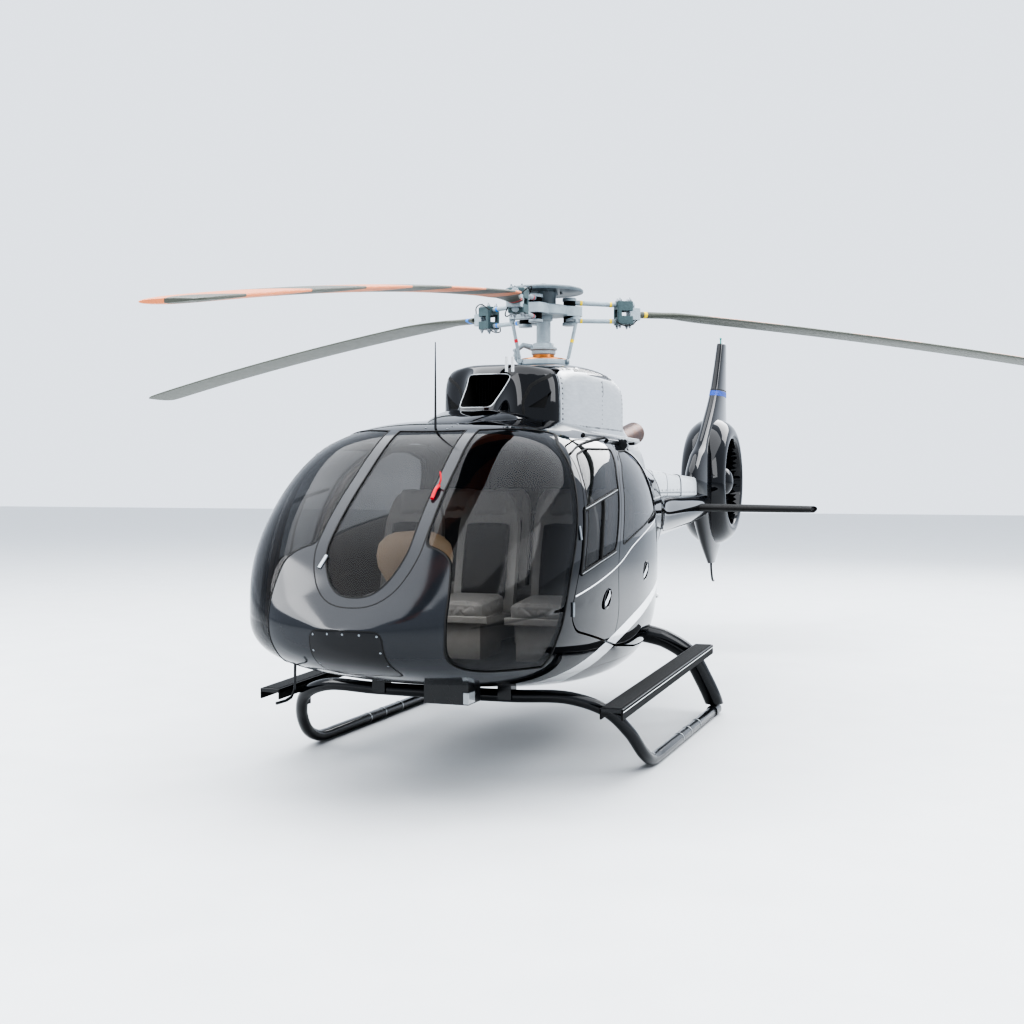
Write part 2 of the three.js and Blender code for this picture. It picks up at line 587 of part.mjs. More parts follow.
// Stabilizer, columns: distance out, leading edge y, trailing edge y, z, half thickness
const STABILIZER = [
  [150, 4740, 5300, 1535, 48], [600, 4790, 5340, 1530, 46], [1330, 4900, 5440, 1520, 41],
  [1365, 4950, 5430, 1520, 24],
];
const boomClear = loft(BOOM.map(([y, halfWidth, bottom, top]) =>
  boomRing([y, halfWidth + SEAM, bottom - SEAM, top + SEAM])));
// Cover of the tail drive shaft, on top of the boom, columns: y, half width, base z, top z, power
const SHAFT_COVER = [
  [2500 + SEAM, 125, 1600, 1972, 6], [3050, 120, 1600, 1945, 6], [4000, 110, 1600, 1908, 6],
  [5000, 98, 1600, 1872, 6], [BOOM_END, 95, 1600, 1868, 6],
];
place('shaft_cover', cowl(SHAFT_COVER, 0, 2, 14).subtract(boomClear)
  .subtract(finBody), PAINT);
for (const [name, sign] of Object.entries(side)) {
  const wing = loft(STABILIZER.map(([x, lead, trail, z, thick]) => foilRing((y, up) =>
    new THREE.Vector3(sign * x, y, z + up), lead, trail, thick, 14)));
  place(`stabilizer_${name}`, wing.subtract(boomClear), TRIM);
}
const TAIL_GUARD = [[0, 6440, 829.4], [0, 6440, 780], [0, 6470, 700], [0, 6530, 615], [0, 6600, 600]];
place('tail_guard', bar(TAIL_GUARD, 14, 5, 6), DARK_METAL);

// Landing gear
const FRONT_TUBE = [
  [-1205, -1180, 40], [-1205, -1280, 40], [-1205, -1420, 55], [-1196, -1580, 125],
  [-1148, -1750, 285], [-1040, -1880, 430], [-830, -1970, 512], [-450, -2000, 510],
];
const STEP = { x: 1150, half: 72, thickness: 34, front: [-2170, 500], back: [500, 575] };
const frontArch = bar(wholeArch(FRONT_TUBE), TUBE.leg, 24);
const saddle = (x) => box([x - 45, x + 45], [-2050, -1950], [490, 700]);
const gearSkin = hull(-SEAM);
place('cross_tube_front', frontArch.add(saddle(430).add(saddle(-430)).subtract(gearSkin)), TUBE_PAINT);
place('cross_tube_rear', rearArch(0), TUBE_PAINT);
for (const [name, sign] of Object.entries(side)) {
  const x = sign * TUBE.halfTrack;
  const tube = rod([x, -1179, TUBE.skid], [x, 735, TUBE.skid], TUBE.skid, 16);
  place(`skid_${name}`, tube.subtract(rearArch(2 * SEAM)), TUBE_PAINT);
  const [y0, z0] = STEP.front;
  const [y1, z1] = STEP.back;
  const board = prism('x', [[y0, z0 - STEP.thickness], [y1, z1 - STEP.thickness], [y1, z1], [y0, z0]],
    STEP.x - STEP.half, STEP.x + STEP.half, new THREE.Matrix4().makeScale(sign, 1, 1));
  const brackets = [[1092, -1800, 340, 480], [1075, 470, 440, 545]].map(([bx, by, low, high]) =>
    box([sign * bx - 22, sign * bx + 22], [by - 40, by + 40], [low, high]));
  const clear = bar(wholeArch(FRONT_TUBE), TUBE.leg + SEAM, 24).add(rearArch(SEAM));
  place(`step_${name}`, joined([board, ...brackets]).subtract(clear), DARK_METAL);
}

// Small fittings
place('belly_lamp', box([40, 330], [-2400, -2200], [505, 700]).subtract(gearSkin), DARK_METAL);
const PITOT = [[-560, -2900, 800], [-560, -2920, 610], [-560, -2980, 585], [-560, -3120, 582]];
place('pitot_tube', bar(PITOT, 9, 7, 6).subtract(gearSkin), DARK_METAL);
place('whip_antenna', rod([0, -2120, 2100], [0, -2120, 2710], 9, 8, 3).subtract(gearSkin), TRIM);
const RAIL = { z: 2145, y: [-1500, -900, -300, 200], radius: 14, proud: 8 };
place('door_rail_left', bar(RAIL.y.map((y) => [skinX(y, RAIL.z) + RAIL.proud, y, RAIL.z]), RAIL.radius, 8, 6)
  .subtract(gearSkin), DARK_METAL);

// Seats and instrument pedestal
const FRONT_SEATS = { y: -1780, width: 450, x: { left: 560, middle: 0, right: -560 } };
const REAR_SEATS = { y: -870, width: 380, x: [-600, -200, 200, 600] };
// Seat outlines from the side, columns: distance aft of the seat's place, z
const CUSHION = [[-50, 950], [430, 920], [430, 1080], [-50, 1100]];
const BACK = [[400, 930], [520, 930], [700, 1780], [600, 1800], [560, 1720]];
function seat(x, y, width) {
  const [left, right] = [x - width / 2, x + width / 2];
  const [cushion, back] = [CUSHION, BACK].map((outline) =>
    prism('x', rounded(outline.map(([u, v]) => [u + y, v]), 40), left, right));
  const foot = width * 0.35;
  const base = box([x - foot, x + foot], [y + 20, y + 400], [floorLevel.top + SEAM, 960]);
  return joined([cushion, back, base]);
}
for (const [name, x] of Object.entries(FRONT_SEATS.x)) {
  place(`seat_front_${name}`, seat(x, FRONT_SEATS.y, FRONT_SEATS.width), SEAT_SHELL);
}
place('seat_rear', joined(REAR_SEATS.x.map((x) => seat(x, REAR_SEATS.y, REAR_SEATS.width)))
  .add(box([-780, 780], [-830, -490], [960, 1000])), SEAT_SHELL);
const PEDESTAL = [
  [0, 690 + SEAM], [150, 690 + SEAM], [120, 1000], [130, 1150], [230, 1330], [225, 1470], [120, 1540],
  [0, 1550],
];
const pedestal = new THREE.LatheGeometry(PEDESTAL.map((p) => new THREE.Vector2(...p)), 20);
pedestal.rotateX(Math.PI / 2);
pedestal.scale(1, 0.75, 1);
pedestal.translate(0, -2440, 0);
place('instrument_pedestal', solidOf(pedestal).intersect(hull(WALL + 20)), SEAT_SHELL);

// Tail fan rotor
const FAN_BLADES = { count: 10, from: 90, to: 495, width: 92, thickness: 9, x: 55, twist: 0.6 };
const fanBlades = radial((angle) => fanBlade(angle, FAN_BLADES), FAN_BLADES.count);
const FAN_HUB = [
  [0, -35 + SEAM], [60, -35 + SEAM], [60, -28], [112, -28], [118, 60], [95, 120], [40, 150], [0, 155],
];
place('tail_fan_rotor', fanBlades.add(turnX(FAN_HUB, 24)), DARK_METAL);

// Main rotor, columns of the blades: name, angle from +X towards +Y in degrees, tip droop,
// and the angle by which the parked blade has swung about its root
const BLADES = [['a', 271.85, 570, 0], ['b', 151.85, 455, 4.7], ['c', 31.85, 455, 0]];
const ROTOR = { radius: 5345, root: 760, bend: 1060, z: 3135, chord: 350, quarter: 0.3 };
// Columns: distance out, chord, thickness as a share of the chord
const BLADE_STATIONS = [
  [745, 110, 0.5], [860, 120, 0.45], [1000, 170, 0.3], [1300, 330, 0.14], [1700, ROTOR.chord, 0.12],
  [2600, ROTOR.chord, 0.12], [3500, ROTOR.chord, 0.12], [4300, ROTOR.chord, 0.12], [5100, ROTOR.chord, 0.12],
  [5300, 320, 0.11], [ROTOR.radius, 250, 0.08],
];
// Heights of the star plate, the two arms of each sleeve and the root fittings
const HUB = { mast: 60, star: [3105, 3180], armEnd: 300 };
const SLEEVE = {
  inner: 205, outer: 700, bearing: 48, upper: [3215, 3205], lower: [3075, 3080], radius: [19, 17],
  fitting: [575, 700, 3055, 3232], cuff: [3088, 3182], horn: [3062, 3086],
};
const mast = turned([[0, MAST_FOOT + SEAM], [HUB.mast, MAST_FOOT + SEAM], [HUB.mast, 3240], [0, 3240]], 24);
const turnZ = (degrees) => new THREE.Matrix4().makeRotationZ(THREE.MathUtils.degToRad(degrees));
const arm = (degrees, outline, low, high) => prism('z', outline, low, high, turnZ(degrees));
const strip = (from, to, width, end = width) =>
  [[from, -width / 2], [to, -end / 2], [to, end / 2], [from, width / 2]];
const star = joined([turned([[0, 3105], [190, 3105], [190, 3180], [0, 3180]], 30),
  ...BLADES.map(([, angle]) => arm(angle, strip(0, HUB.armEnd, 240, 130), ...HUB.star))]);
const CAP = [
  [0, 3179], [95, 3179], [95, 3240], [110, 3285], [305, 3290], [305, 3312], [120, 3340], [0, 3340],
];
const cap = turned(CAP, 36);
place('rotor_head', joined([mast, star, cap]), GREY_METAL);
const swash = [turned([[HUB.mast + 6, 2722], [190, 2722], [200, 2730], [200, 2762], [150, 2785],
  [HUB.mast + 6, 2800], [HUB.mast + 6, 2722]], 30)];
const PITCH_LINK = [[155, -140, 2752], [213, -185, 3058]];
for (const [name, angle, droop, swing] of BLADES) {
  const turnedTo = (...point) => new THREE.Vector3(...point).applyMatrix4(turnZ(angle)).toArray();
  const { inner, outer, bearing, fitting } = SLEEVE;
  const arms = [SLEEVE.upper, SLEEVE.lower].map(([near, far], i) =>
    rod(turnedTo(inner, 0, near), turnedTo(outer - 40, 0, far), SLEEVE.radius[i], 10));
  const [x, y] = turnedTo(inner, 0, 0);
  const bearings = [[HUB.star[1] + SEAM, 3245], [3040, HUB.star[0] - SEAM]].map((z) =>
    rod([x, y, z[0]], [x, y, z[1]], bearing, 14));
  const block = arm(angle, strip(fitting[0], fitting[1], 124), fitting[2], fitting[3]);
  const cuff = arm(angle, strip(fitting[1] - 1, ROTOR.root, 110), ...SLEEVE.cuff);
  const horn = arm(angle, [[165, 0], [245, 0], [245, -205], [185, -205]], ...SLEEVE.horn);
  place(`sleeve_${name}`, joined([...arms, ...bearings, block, cuff, horn]), GREY_METAL);

  const [foot, head] = PITCH_LINK.map((p) => turnedTo(...p));
  swash.push(rod(foot, head, 14, 8));

  const swung = new THREE.Matrix4().makeTranslation(ROTOR.root, 0, 0).multiply(turnZ(swing))
    .multiply(new THREE.Matrix4().makeTranslation(-ROTOR.root, 0, 0)).premultiply(turnZ(angle));
  const rings = BLADE_STATIONS.map(([r, chord, ratio]) => {
    const share = Math.max(0, (r - ROTOR.bend) / (ROTOR.radius - ROTOR.bend));
    const z = ROTOR.z - droop * (0.67 * share + 0.33 * share ** 2);
    const at = (across, up) => new THREE.Vector3(r, across, z + up).applyMatrix4(swung);
    return foilRing(at, -chord * ROTOR.quarter, chord * (1 - ROTOR.quarter), chord * ratio / 2);
  });
  const sleeveSide = arm(angle, strip(400, ROTOR.root + SEAM, 400), 2900, 3300);
  place(`blade_${name}`, loft(rings).subtract(sleeveSide), BLADE_SKIN);
}
place('swash_plate', joined(swash), GREY_METAL);

export default helicopter;
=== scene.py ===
"""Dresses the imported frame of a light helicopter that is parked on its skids.

Sizes are millimetres from the rotor shaft, X to the aircraft's left, Y aft and Z up from the
ground, until to_part() turns them into the part's own metres."""

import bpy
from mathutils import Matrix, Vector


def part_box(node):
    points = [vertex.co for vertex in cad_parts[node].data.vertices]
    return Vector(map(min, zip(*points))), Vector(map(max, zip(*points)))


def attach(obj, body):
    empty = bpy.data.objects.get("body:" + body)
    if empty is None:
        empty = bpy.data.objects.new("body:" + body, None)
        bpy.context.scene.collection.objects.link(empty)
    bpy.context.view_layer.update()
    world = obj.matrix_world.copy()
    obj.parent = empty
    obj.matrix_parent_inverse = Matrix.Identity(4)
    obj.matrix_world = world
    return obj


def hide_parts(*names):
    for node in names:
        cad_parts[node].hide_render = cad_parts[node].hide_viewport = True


bl_info = {
    "name": "Helicopter Dress",
    "version": (1, 0, 0),
    "blender": (4, 5, 0),
    "location": "View3D > Sidebar > Helicopter",
    "description": "Fine skins, glazing, cabin, rotor head, tail and landing gear of a light helicopter",
    "category": "Object",
}

import functools
import math

import bmesh
import bpy
import numpy as np
from bpy.props import FloatProperty, FloatVectorProperty, IntProperty, PointerProperty
from mathutils import Matrix, Vector

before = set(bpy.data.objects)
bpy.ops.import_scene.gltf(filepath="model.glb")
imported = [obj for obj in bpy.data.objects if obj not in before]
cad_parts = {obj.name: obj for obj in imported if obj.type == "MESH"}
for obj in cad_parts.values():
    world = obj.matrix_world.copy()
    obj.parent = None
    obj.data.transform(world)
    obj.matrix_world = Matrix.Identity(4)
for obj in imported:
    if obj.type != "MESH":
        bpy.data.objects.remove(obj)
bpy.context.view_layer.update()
mast_low, mast_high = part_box("mast_housing")
SHAFT = (mast_low + mast_high) / 2
MM = 0.001
SIDES = {"left": 1, "right": -1}
# Spans of cutting tools: across the whole cabin, through the windscreen, and across the landing gear
ACROSS = (-1500, 1500)
AHEAD = (-3600, -1500)
GEAR_SPAN = (-1400, 1400)

# Cross-sections of the cabin and rear body, nose to boom.
# Columns: y, half width, lowest z, highest z, z of the widest line, power above, power below
HULL = [
    [-3400, 10, 1030, 1050, 1040, 2.0, 2.0],
    [-3370, 200, 930, 1080, 1040, 2.6, 2.3],
    [-3260, 520, 840, 1225, 1050, 2.9, 2.4],
    [-3040, 780, 760, 1525, 1075, 3.2, 2.6],
    [-2650, 965, 670, 1855, 1110, 3.45, 2.7],
    [-2150, 1050, 575, 2165, 1140, 3.5, 2.8],
    [-1500, 1070, 480, 2260, 1180, 3.4, 2.9],
    [-900, 1050, 420, 2270, 1200, 3.3, 3.0],
    [-300, 970, 395, 2260, 1230, 3.1, 3.0],
    [300, 815, 455, 2240, 1280, 2.9, 3.0],
    [950, 630, 585, 2190, 1360, 2.7, 2.9],
    [1700, 480, 850, 2080, 1470, 2.6, 2.7],
    [2500, 330, 1080, 1990, 1550, 2.4, 2.5],
]
WALL = 34
GLASS = (3, 11)
DOOR_GAP = 6
SILL = 655
BULKHEAD = -60

# Outlines seen from the side, columns: y, z
DOOR_BAND = [
    [-2421, 985], [-2499, 1079], [-2212, 1730], [-2054, 2050], [-1777, 2103], [-600, 2112], [-250, 2020],
    [-150, 1700], [-170, 1000], [-300, 692], [-930, 727], [-1532, 800],
]
DOOR_SEAM = [[-1660, 560], [-1677, 820], [-1711, 1342], [-1570, 1660], [-1409, 1872], [-1050, 2048],
             [-760, 2170]]
SEAM_LEAN = (0.42, 1050)
SEAM_GAP = 9
FRONT_WINDOW = [
    [-2330, 1325], [-2175, 1720], [-2110, 1900], [-2010, 2010], [-1770, 2055], [-1230, 2062],
    [-1485, 1872], [-1625, 1650], [-1755, 1415],
]
REAR_WINDOW = [
    [-1620, 1430], [-1515, 1650], [-1375, 1872], [-1080, 2050], [-700, 2062], [-420, 2010], [-300, 1900],
    [-250, 1720], [-290, 1640], [-1200, 1510],
]
PANE_EDGE = [
    [-4000, 100], [-2430, 100], [-2430, 720], [-2518, 794], [-2608, 924], [-2582, 1036], [-2484, 1326],
    [-2256, 1795], [-2090, 2050], [-1990, 2100], [-1870, 2145], [-1800, 2330], [-4000, 2330],
]
BAGGAGE_DOOR = [[120, 900], [760, 1000], [760, 1650], [120, 1690]]
BAGGAGE_LEAN = (0.267, 780)
# Front edge of the roof seen from above, columns: x, y, left half
ROOF_EDGE = [[1300, -1500], [760, -1850], [650, -1940], [500, -2060], [300, -2150], [100, -2168]]
# Windscreen outlines seen from the front, columns: x, z, left half
CENTRE_PANE = [
    [228, 2330], [228, 2100], [258, 1500], [250, 1440], [225, 1370], [180, 1290], [120, 1235], [50, 1212],
]
CENTRE_FRAME = [
    [297, 2330], [297, 2100], [328, 1500], [318, 1425], [288, 1340], [235, 1250], [160, 1190], [70, 1162],
]
SIDE_PANE = [
    [297, 2330], [297, 2100], [328, 1495], [400, 1475], [462, 1445], [505, 1400], [520, 1330],
    [533, 1210], [530, 1000], [510, 880], [545, 810], [620, 775], [1300, 745], [1300, 2330],
]


# Settings

def linear(code):
    """An sRGB hex colour as linear light."""
    channels = [int(code[i:i + 2], 16) / 255 for i in (1, 3, 5)]
    return [c / 12.92 if c <= 0.04045 else ((c + 0.055) / 1.055) ** 2.4 for c in channels]


def colour_setting(name, description, code):
    return FloatVectorProperty(name=name, description=description, default=linear(code), size=3, min=0, max=1,
                               subtype="COLOR")


class HELI_PG_colours(bpy.types.PropertyGroup):
    """Colours of the finishes"""
    body: colour_setting("Body", "Enamel of the cabin, rear body and fin", "#06080e")
    stripe: colour_setting("Stripe", "Sweep stripe and pinstripe", "#eef0f2")
    nose: colour_setting("Nose", "Satin enamel of the nose and windscreen posts", "#24272c")
    hub: colour_setting("Rotor head", "Primer-like grey of the rotor head", "#9aa5ab")
    fitting: colour_setting("Root fittings", "Green-grey blocks at the blade roots", "#45575a")
    blade: colour_setting("Blades", "Underside of the main rotor blades", "#51544c")
    stripe_blade: colour_setting("Blade stripes", "Warning stripes of the blades", "#cf7f56")
    seat: colour_setting("Seats", "Pale seat covers", "#b9b6b0")
    insert: colour_setting("Seat inserts", "Dark panels of the seat covers", "#4a4744")
    binnacle: colour_setting("Pedestal", "Moulded instrument pedestal", "#b79f83")
    lining: colour_setting("Lining", "Cloth-faced lining inside the cabin", "#6e6258")


class HELI_PG_detail(bpy.types.PropertyGroup):
    """Fineness of the meshes and of the small gaps"""
    hull_sides: IntProperty(name="Hull sides", description="Points round a hull section", default=168, min=28)
    hull_steps: IntProperty(name="Hull steps", description="Rings between two hull sections",
                            default=11, min=2)
    seal: FloatProperty(name="Seal", description="Width of the rubber seal round a pane", default=0.008,
                        min=0.001, max=0.02, unit="LENGTH")
    pressure: FloatProperty(name="Pad pressure", description="Air pressure that fills the seat pads",
                            default=4.0, min=0.5, max=10)


# Solids

def to_part(points):
    """Millimetres from the rotor shaft as metres of the part."""
    return np.asarray(points, float).reshape(-1, 3) * MM + np.array([SHAFT.x, SHAFT.y, 0])


def from_part(points):
    return (np.asarray(points, float).reshape(-1, 3) - np.array([SHAFT.x, SHAFT.y, 0])) / MM


def around(count):
    """Evenly spaced angles of a full turn."""
    return np.linspace(0, 2 * math.pi, count, endpoint=False)


def solid(points, faces):
    mesh = bpy.data.meshes.new("solid")
    mesh.from_pydata(to_part(points).tolist(), [], faces)
    work = bmesh.new()
    work.from_mesh(mesh)
    bmesh.ops.remove_doubles(work, verts=work.verts, dist=1e-5)
    bmesh.ops.recalc_face_normals(work, faces=work.faces)
    work.to_mesh(mesh)
    work.free()
    return mesh


def lofted(rings):
    """A closed body through rings with equal numbers of points."""
    rings = np.asarray(rings, float)
    rows, count = rings.shape[:2]
    faces = [[i * count + j, i * count + (j + 1) % count, (i + 1) * count + (j + 1) % count,
              (i + 1) * count + j]
             for i in range(rows - 1) for j in range(count)]
    faces += [list(range(count)), list(range((rows - 1) * count, rows * count))]
    return solid(rings.reshape(-1, 3), faces)


def looped(rings):
    """A closed body whose last ring is joined to its first."""
    rows, count = len(rings), len(rings[0])
    faces = [[i * count + j, i * count + (j + 1) % count, (i + 1) % rows * count + (j + 1) % count,
              (i + 1) % rows * count + j] for i in range(rows) for j in range(count)]
    return solid(np.reshape(rings, (-1, 3)), faces)


def joined(*meshes):
    """Several meshes as the parts of one."""
    work = bmesh.new()
    for mesh in meshes:
        work.from_mesh(mesh)
    result = bpy.data.meshes.new("joined")
    work.to_mesh(result)
    work.free()
    return result


def cut(operation, base, *tools):
    """The base joined with, cut by or kept inside each tool in turn."""
    holder = bpy.data.objects.new("work", base)
    helpers = [bpy.data.objects.new("tool", tool) for tool in tools]
    for obj in [holder, *helpers]:
        bpy.context.scene.collection.objects.link(obj)
    for helper in helpers:
        modifier = holder.modifiers.new("cut", "BOOLEAN")
        modifier.operation = operation
        modifier.solver = "MANIFOLD"
        modifier.object = helper
    bpy.context.view_layer.update()
    result = bpy.data.meshes.new_from_object(holder.evaluated_get(bpy.context.evaluated_depsgraph_get()))
    for obj in [holder, *helpers]:
        bpy.data.objects.remove(obj)
    if not result.polygons:
        raise RuntimeError("a cut left nothing")
    return result


less = functools.partial(cut, "DIFFERENCE")
kept = functools.partial(cut, "INTERSECT")
merged = functools.partial(cut, "UNION")


def rounded(points, radius, steps=7):
    """A closed outline with its corners rounded."""
    result = []
    for i, corner in enumerate(points):
        here = np.array(corner, float)
        ends = []
        for other in (points[i - 1], points[(i + 1) % len(points)]):
            along = np.array(other, float) - here
            length = np.linalg.norm(along)
            ends.append(here + along / length * min(radius, length * 0.45))
        for share in np.linspace(0, 1, steps + 1):
            result.append((1 - share) ** 2 * ends[0] + 2 * share * (1 - share) * here + share ** 2 * ends[1])
    return [list(p) for p in result]


def grown(points, distance):
    """A closed outline moved outwards by a distance."""
    points = np.asarray(points, float)
    following = np.roll(points, -1, axis=0)
    area = np.sum(points[:, 0] * following[:, 1] - following[:, 0] * points[:, 1])
    after = following - points
    after /= np.linalg.norm(after, axis=1)[:, None]
    before = np.roll(after, 1, axis=0)
    out = np.stack([before[:, 1] + after[:, 1], -before[:, 0] - after[:, 0]], axis=1) * np.sign(area)
    return (points + out * (2 * distance / np.sum(out ** 2, axis=1))[:, None]).tolist()


def mirrored(half):
    return [*half, *[[-x, other] for x, other in reversed(half)]]


def prism(axis, outline, low, high, lean=None, sign=1):
    """An outline run along one axis. A lean (slope, reference) slides it aft as x grows."""
    order = {"x": (2, 0, 1), "y": (0, 2, 1), "z": (0, 1, 2)}[axis]
    rings = np.array([[[(u, v, w)[i] for i in order] for u, v in outline] for w in (low, high)], float)
    if lean:
        rings[..., 1] += lean[0] * (rings[..., 0] - lean[1])
    rings[..., 0] *= sign
    return lofted(rings)


def block(x, y, z):
    return prism("z", [[x[0], y[0]], [x[1], y[0]], [x[1], y[1]], [x[0], y[1]]], *z)


AXES = {"x": ((0, 1, 0), (0, 0, 1), (1, 0, 0)), "y": ((1, 0, 0), (0, 0, 1), (0, 1, 0)),
        "z": ((1, 0, 0), (0, 1, 0), (0, 0, 1))}


def turned(profile, sides, centre=(0, 0, 0), axes=AXES["z"]):
    """A body turned about the last of three axes; the first two may stretch it to an oval.

    Columns of the profile: radius, distance along the axis. Its ends lie on the axis or close."""
    u, v, along = (np.array(axis, float) for axis in axes)
    closed = list(profile[0]) == list(profile[-1])
    rows = profile[:-1] if closed else profile
    rings = [[centre + radius * (math.cos(a) * u + math.sin(a) * v) + distance * along
              for a in around(sides)] for radius, distance in rows]
    return looped(rings) if closed else lofted(rings)


def smooth_path(points, steps):
    """Points along a centripetal curve through the given ones."""
    p = np.asarray(points, float)
    p = np.vstack([2 * p[0] - p[1], p, 2 * p[-1] - p[-2]])
    result = []
    for i in range(len(p) - 3):
        a, b, c, d = p[i:i + 4]
        t0, t1, t2 = (max(np.linalg.norm(v), 1e-6) ** 0.5 for v in (b - a, c - b, d - c))
        m1 = ((b - a) / t0 - (c - a) / (t0 + t1) + (c - b) / t1) * t1
        m2 = ((c - b) / t1 - (d - b) / (t1 + t2) + (d - c) / t2) * t1
        for t in np.linspace(0, 1, steps, endpoint=False):
            square = (3 * c - 3 * b - 2 * m1 - m2) * t ** 2
            cube = (2 * b - 2 * c + m1 + m2) * t ** 3
            result.append(b + m1 * t + square + cube)
    return np.array([*result, p[-2]])


def pipe(path, radius, sides=20, closed=False):
    """A round bar along a path. The radius may change along it."""
    path = np.asarray(path, float)
    radii = np.broadcast_to(radius, len(path))
    ahead = np.roll(path, -1, axis=0) - np.roll(path, 1, axis=0)
    if not closed:
        ahead[0], ahead[-1] = path[1] - path[0], path[-1] - path[-2]
    ahead /= np.linalg.norm(ahead, axis=1)[:, None]
    across = np.cross(ahead[0], [0, 0, 1] if abs(ahead[0][2]) < 0.9 else [1, 0, 0])
    rings = []
    for spot, along, r in zip(path, ahead, radii):
        across = across - along * np.dot(across, along)
        across /= np.linalg.norm(across)
        other = np.cross(along, across)
        rings.append([spot + r * (math.cos(a) * across + math.sin(a) * other)
                      for a in around(sides)])
    return looped(rings) if closed else lofted(rings)


def rod(start, end, radius, sides=20):
    return pipe([start, end], radius, sides)


def turned_about(mesh, degrees):
    """The mesh turned about the rotor shaft."""
    result = mesh.copy()
    shift = Matrix.Translation((SHAFT.x, SHAFT.y, 0))
    result.transform(shift @ Matrix.Rotation(math.radians(degrees), 4, "Z") @ shift.inverted())
    return result


def screws(spots, facings, radius=5, height=2, sides=10):
    """Round-headed screws or rivets: a low chamfered disc at each spot, facing one way or each its own."""
    spots, heads = np.asarray(spots, float), []
    for spot, facing in zip(spots, np.broadcast_to(facings, spots.shape)):
        path = [spot - facing * height, spot + facing * height * 0.6, spot + facing * height]
        heads.append(pipe(path, [radius, radius, radius * 0.7], sides))
    return joined(*heads)


def spaced(points, pitch, closed=False):
    """Points at an even pitch along a path."""
    points = np.asarray([*points, points[0]] if closed else points, float)
    run = np.concatenate([[0], np.cumsum(np.linalg.norm(np.diff(points, axis=0), axis=1))])
    count = max(1, round(run[-1] / pitch))
    places = np.linspace(0, run[-1], count + 1)[:count if closed else None]
    return np.stack([np.interp(places, run, column) for column in points.T], axis=1)


def ribbon(spots, facings, width, height, sunk=2.0, closed=False):
    """A flat bar with a rounded back along a path, its underside sunk in what carries it."""
    spots = np.asarray(spots, float)
    facings = np.broadcast_to(facings, spots.shape)
    ahead = np.roll(spots, -1, axis=0) - np.roll(spots, 1, axis=0)
    if not closed:
        ahead[0], ahead[-1] = spots[1] - spots[0], spots[-1] - spots[-2]
    across = np.cross(ahead, facings)
    across *= width / np.linalg.norm(across, axis=1)[:, None]
    profile = [(-0.5, -sunk), (-0.5, height * 0.6), (-0.34, height), (0.34, height), (0.5, height * 0.6),
               (0.5, -sunk)]
    rings = [[spot + side * u + out * v for u, v in profile]
             for spot, side, out in zip(spots, across, facings)]
    return looped(rings) if closed else lofted(rings)


# The hull surface

def rows_at(table, t):
    """Rows of a table at fractional places, on a smooth curve through its rows."""
    table = np.asarray(table, float)
    padded = np.vstack([2 * table[0] - table[1], table, 2 * table[-1] - table[-2]])
    t = np.atleast_1d(t)
    i = np.clip(np.floor(t).astype(int), 0, len(table) - 2)
    f = (t - i)[:, None]
    a, b, c, d = (padded[i + k] for k in range(4))
    square = (2 * a - 5 * b + 4 * c - d) * f ** 2
    cube = (3 * b - a - 3 * c + d) * f ** 3
    return 0.5 * (2 * b + (c - a) * f + square + cube)


def rows_of(table, count):
    """Rows at even places along a table's smooth curve."""
    return rows_at(table, np.linspace(0, len(table) - 1, count))


def section_points(rows, angles):
    """Rings of the hull's rounded sections, one for each row of its table."""
    c, s = np.cos(angles), np.sin(angles)
    y, half, bottom, top, widest, above, below = (column[:, None] for column in np.asarray(rows, float).T)
    power = np.where(s >= 0, above, below)
    reach = (np.abs(c) ** power + np.abs(s) ** power) ** (-1 / power)
    height = np.where(s >= 0, top - widest, widest - bottom)
    return np.stack([half * reach * c, np.broadcast_to(y, reach.shape), widest + height * reach * s], axis=-1)


@functools.cache
def hull(inset):
    """The closed body inside the skin, moved in by an inset."""
    detail = bpy.context.scene.heli_detail
    last = len(HULL) - 1
    t = np.linspace(0, last, last * detail.hull_steps + 1)
    angles = around(detail.hull_sides)
    small = 1e-3

    def at(dt, da):
        return section_points(rows_at(HULL, np.clip(t + dt, 0, last)), angles + da)

    out = np.cross(at(small, 0) - at(-small, 0), at(0, small) - at(0, -small))
    out /= np.linalg.norm(out, axis=-1)[..., None]
    return lofted(at(0, 0) - inset * out)


HULL_T = np.linspace(0, len(HULL) - 1, 3000)
HULL_Y = rows_at(HULL, HULL_T)[:, 0]


def sections_at(y):
    return rows_at(HULL, np.interp(y, HULL_Y, HULL_T))


def hull_level(points):
    rows = sections_at(points[:, 1])
    _, half, bottom, top, widest, above, below = rows.T
    up = points[:, 2] >= widest
    power = np.where(up, above, below)
    height = np.where(up, top - widest, widest - bottom)
    return (np.abs(points[:, 0]) / half) ** power + (np.abs(points[:, 2] - widest) / height) ** power


def hull_normals(points):
    """Outward directions of the smooth hull at points in millimetres."""
    points = np.asarray(points, float).reshape(-1, 3)
    slopes = []
    for axis in np.eye(3):
        slopes.append(hull_level(points + axis) - hull_level(points - axis))
    out = np.stack(slopes, axis=1)
    return out / np.maximum(np.linalg.norm(out, axis=1), 1e-12)[:, None]


# Planes outside the hull from which points are laid on it
OUTSIDE = {"x": 1400, "front": -3700, "above": 2700}


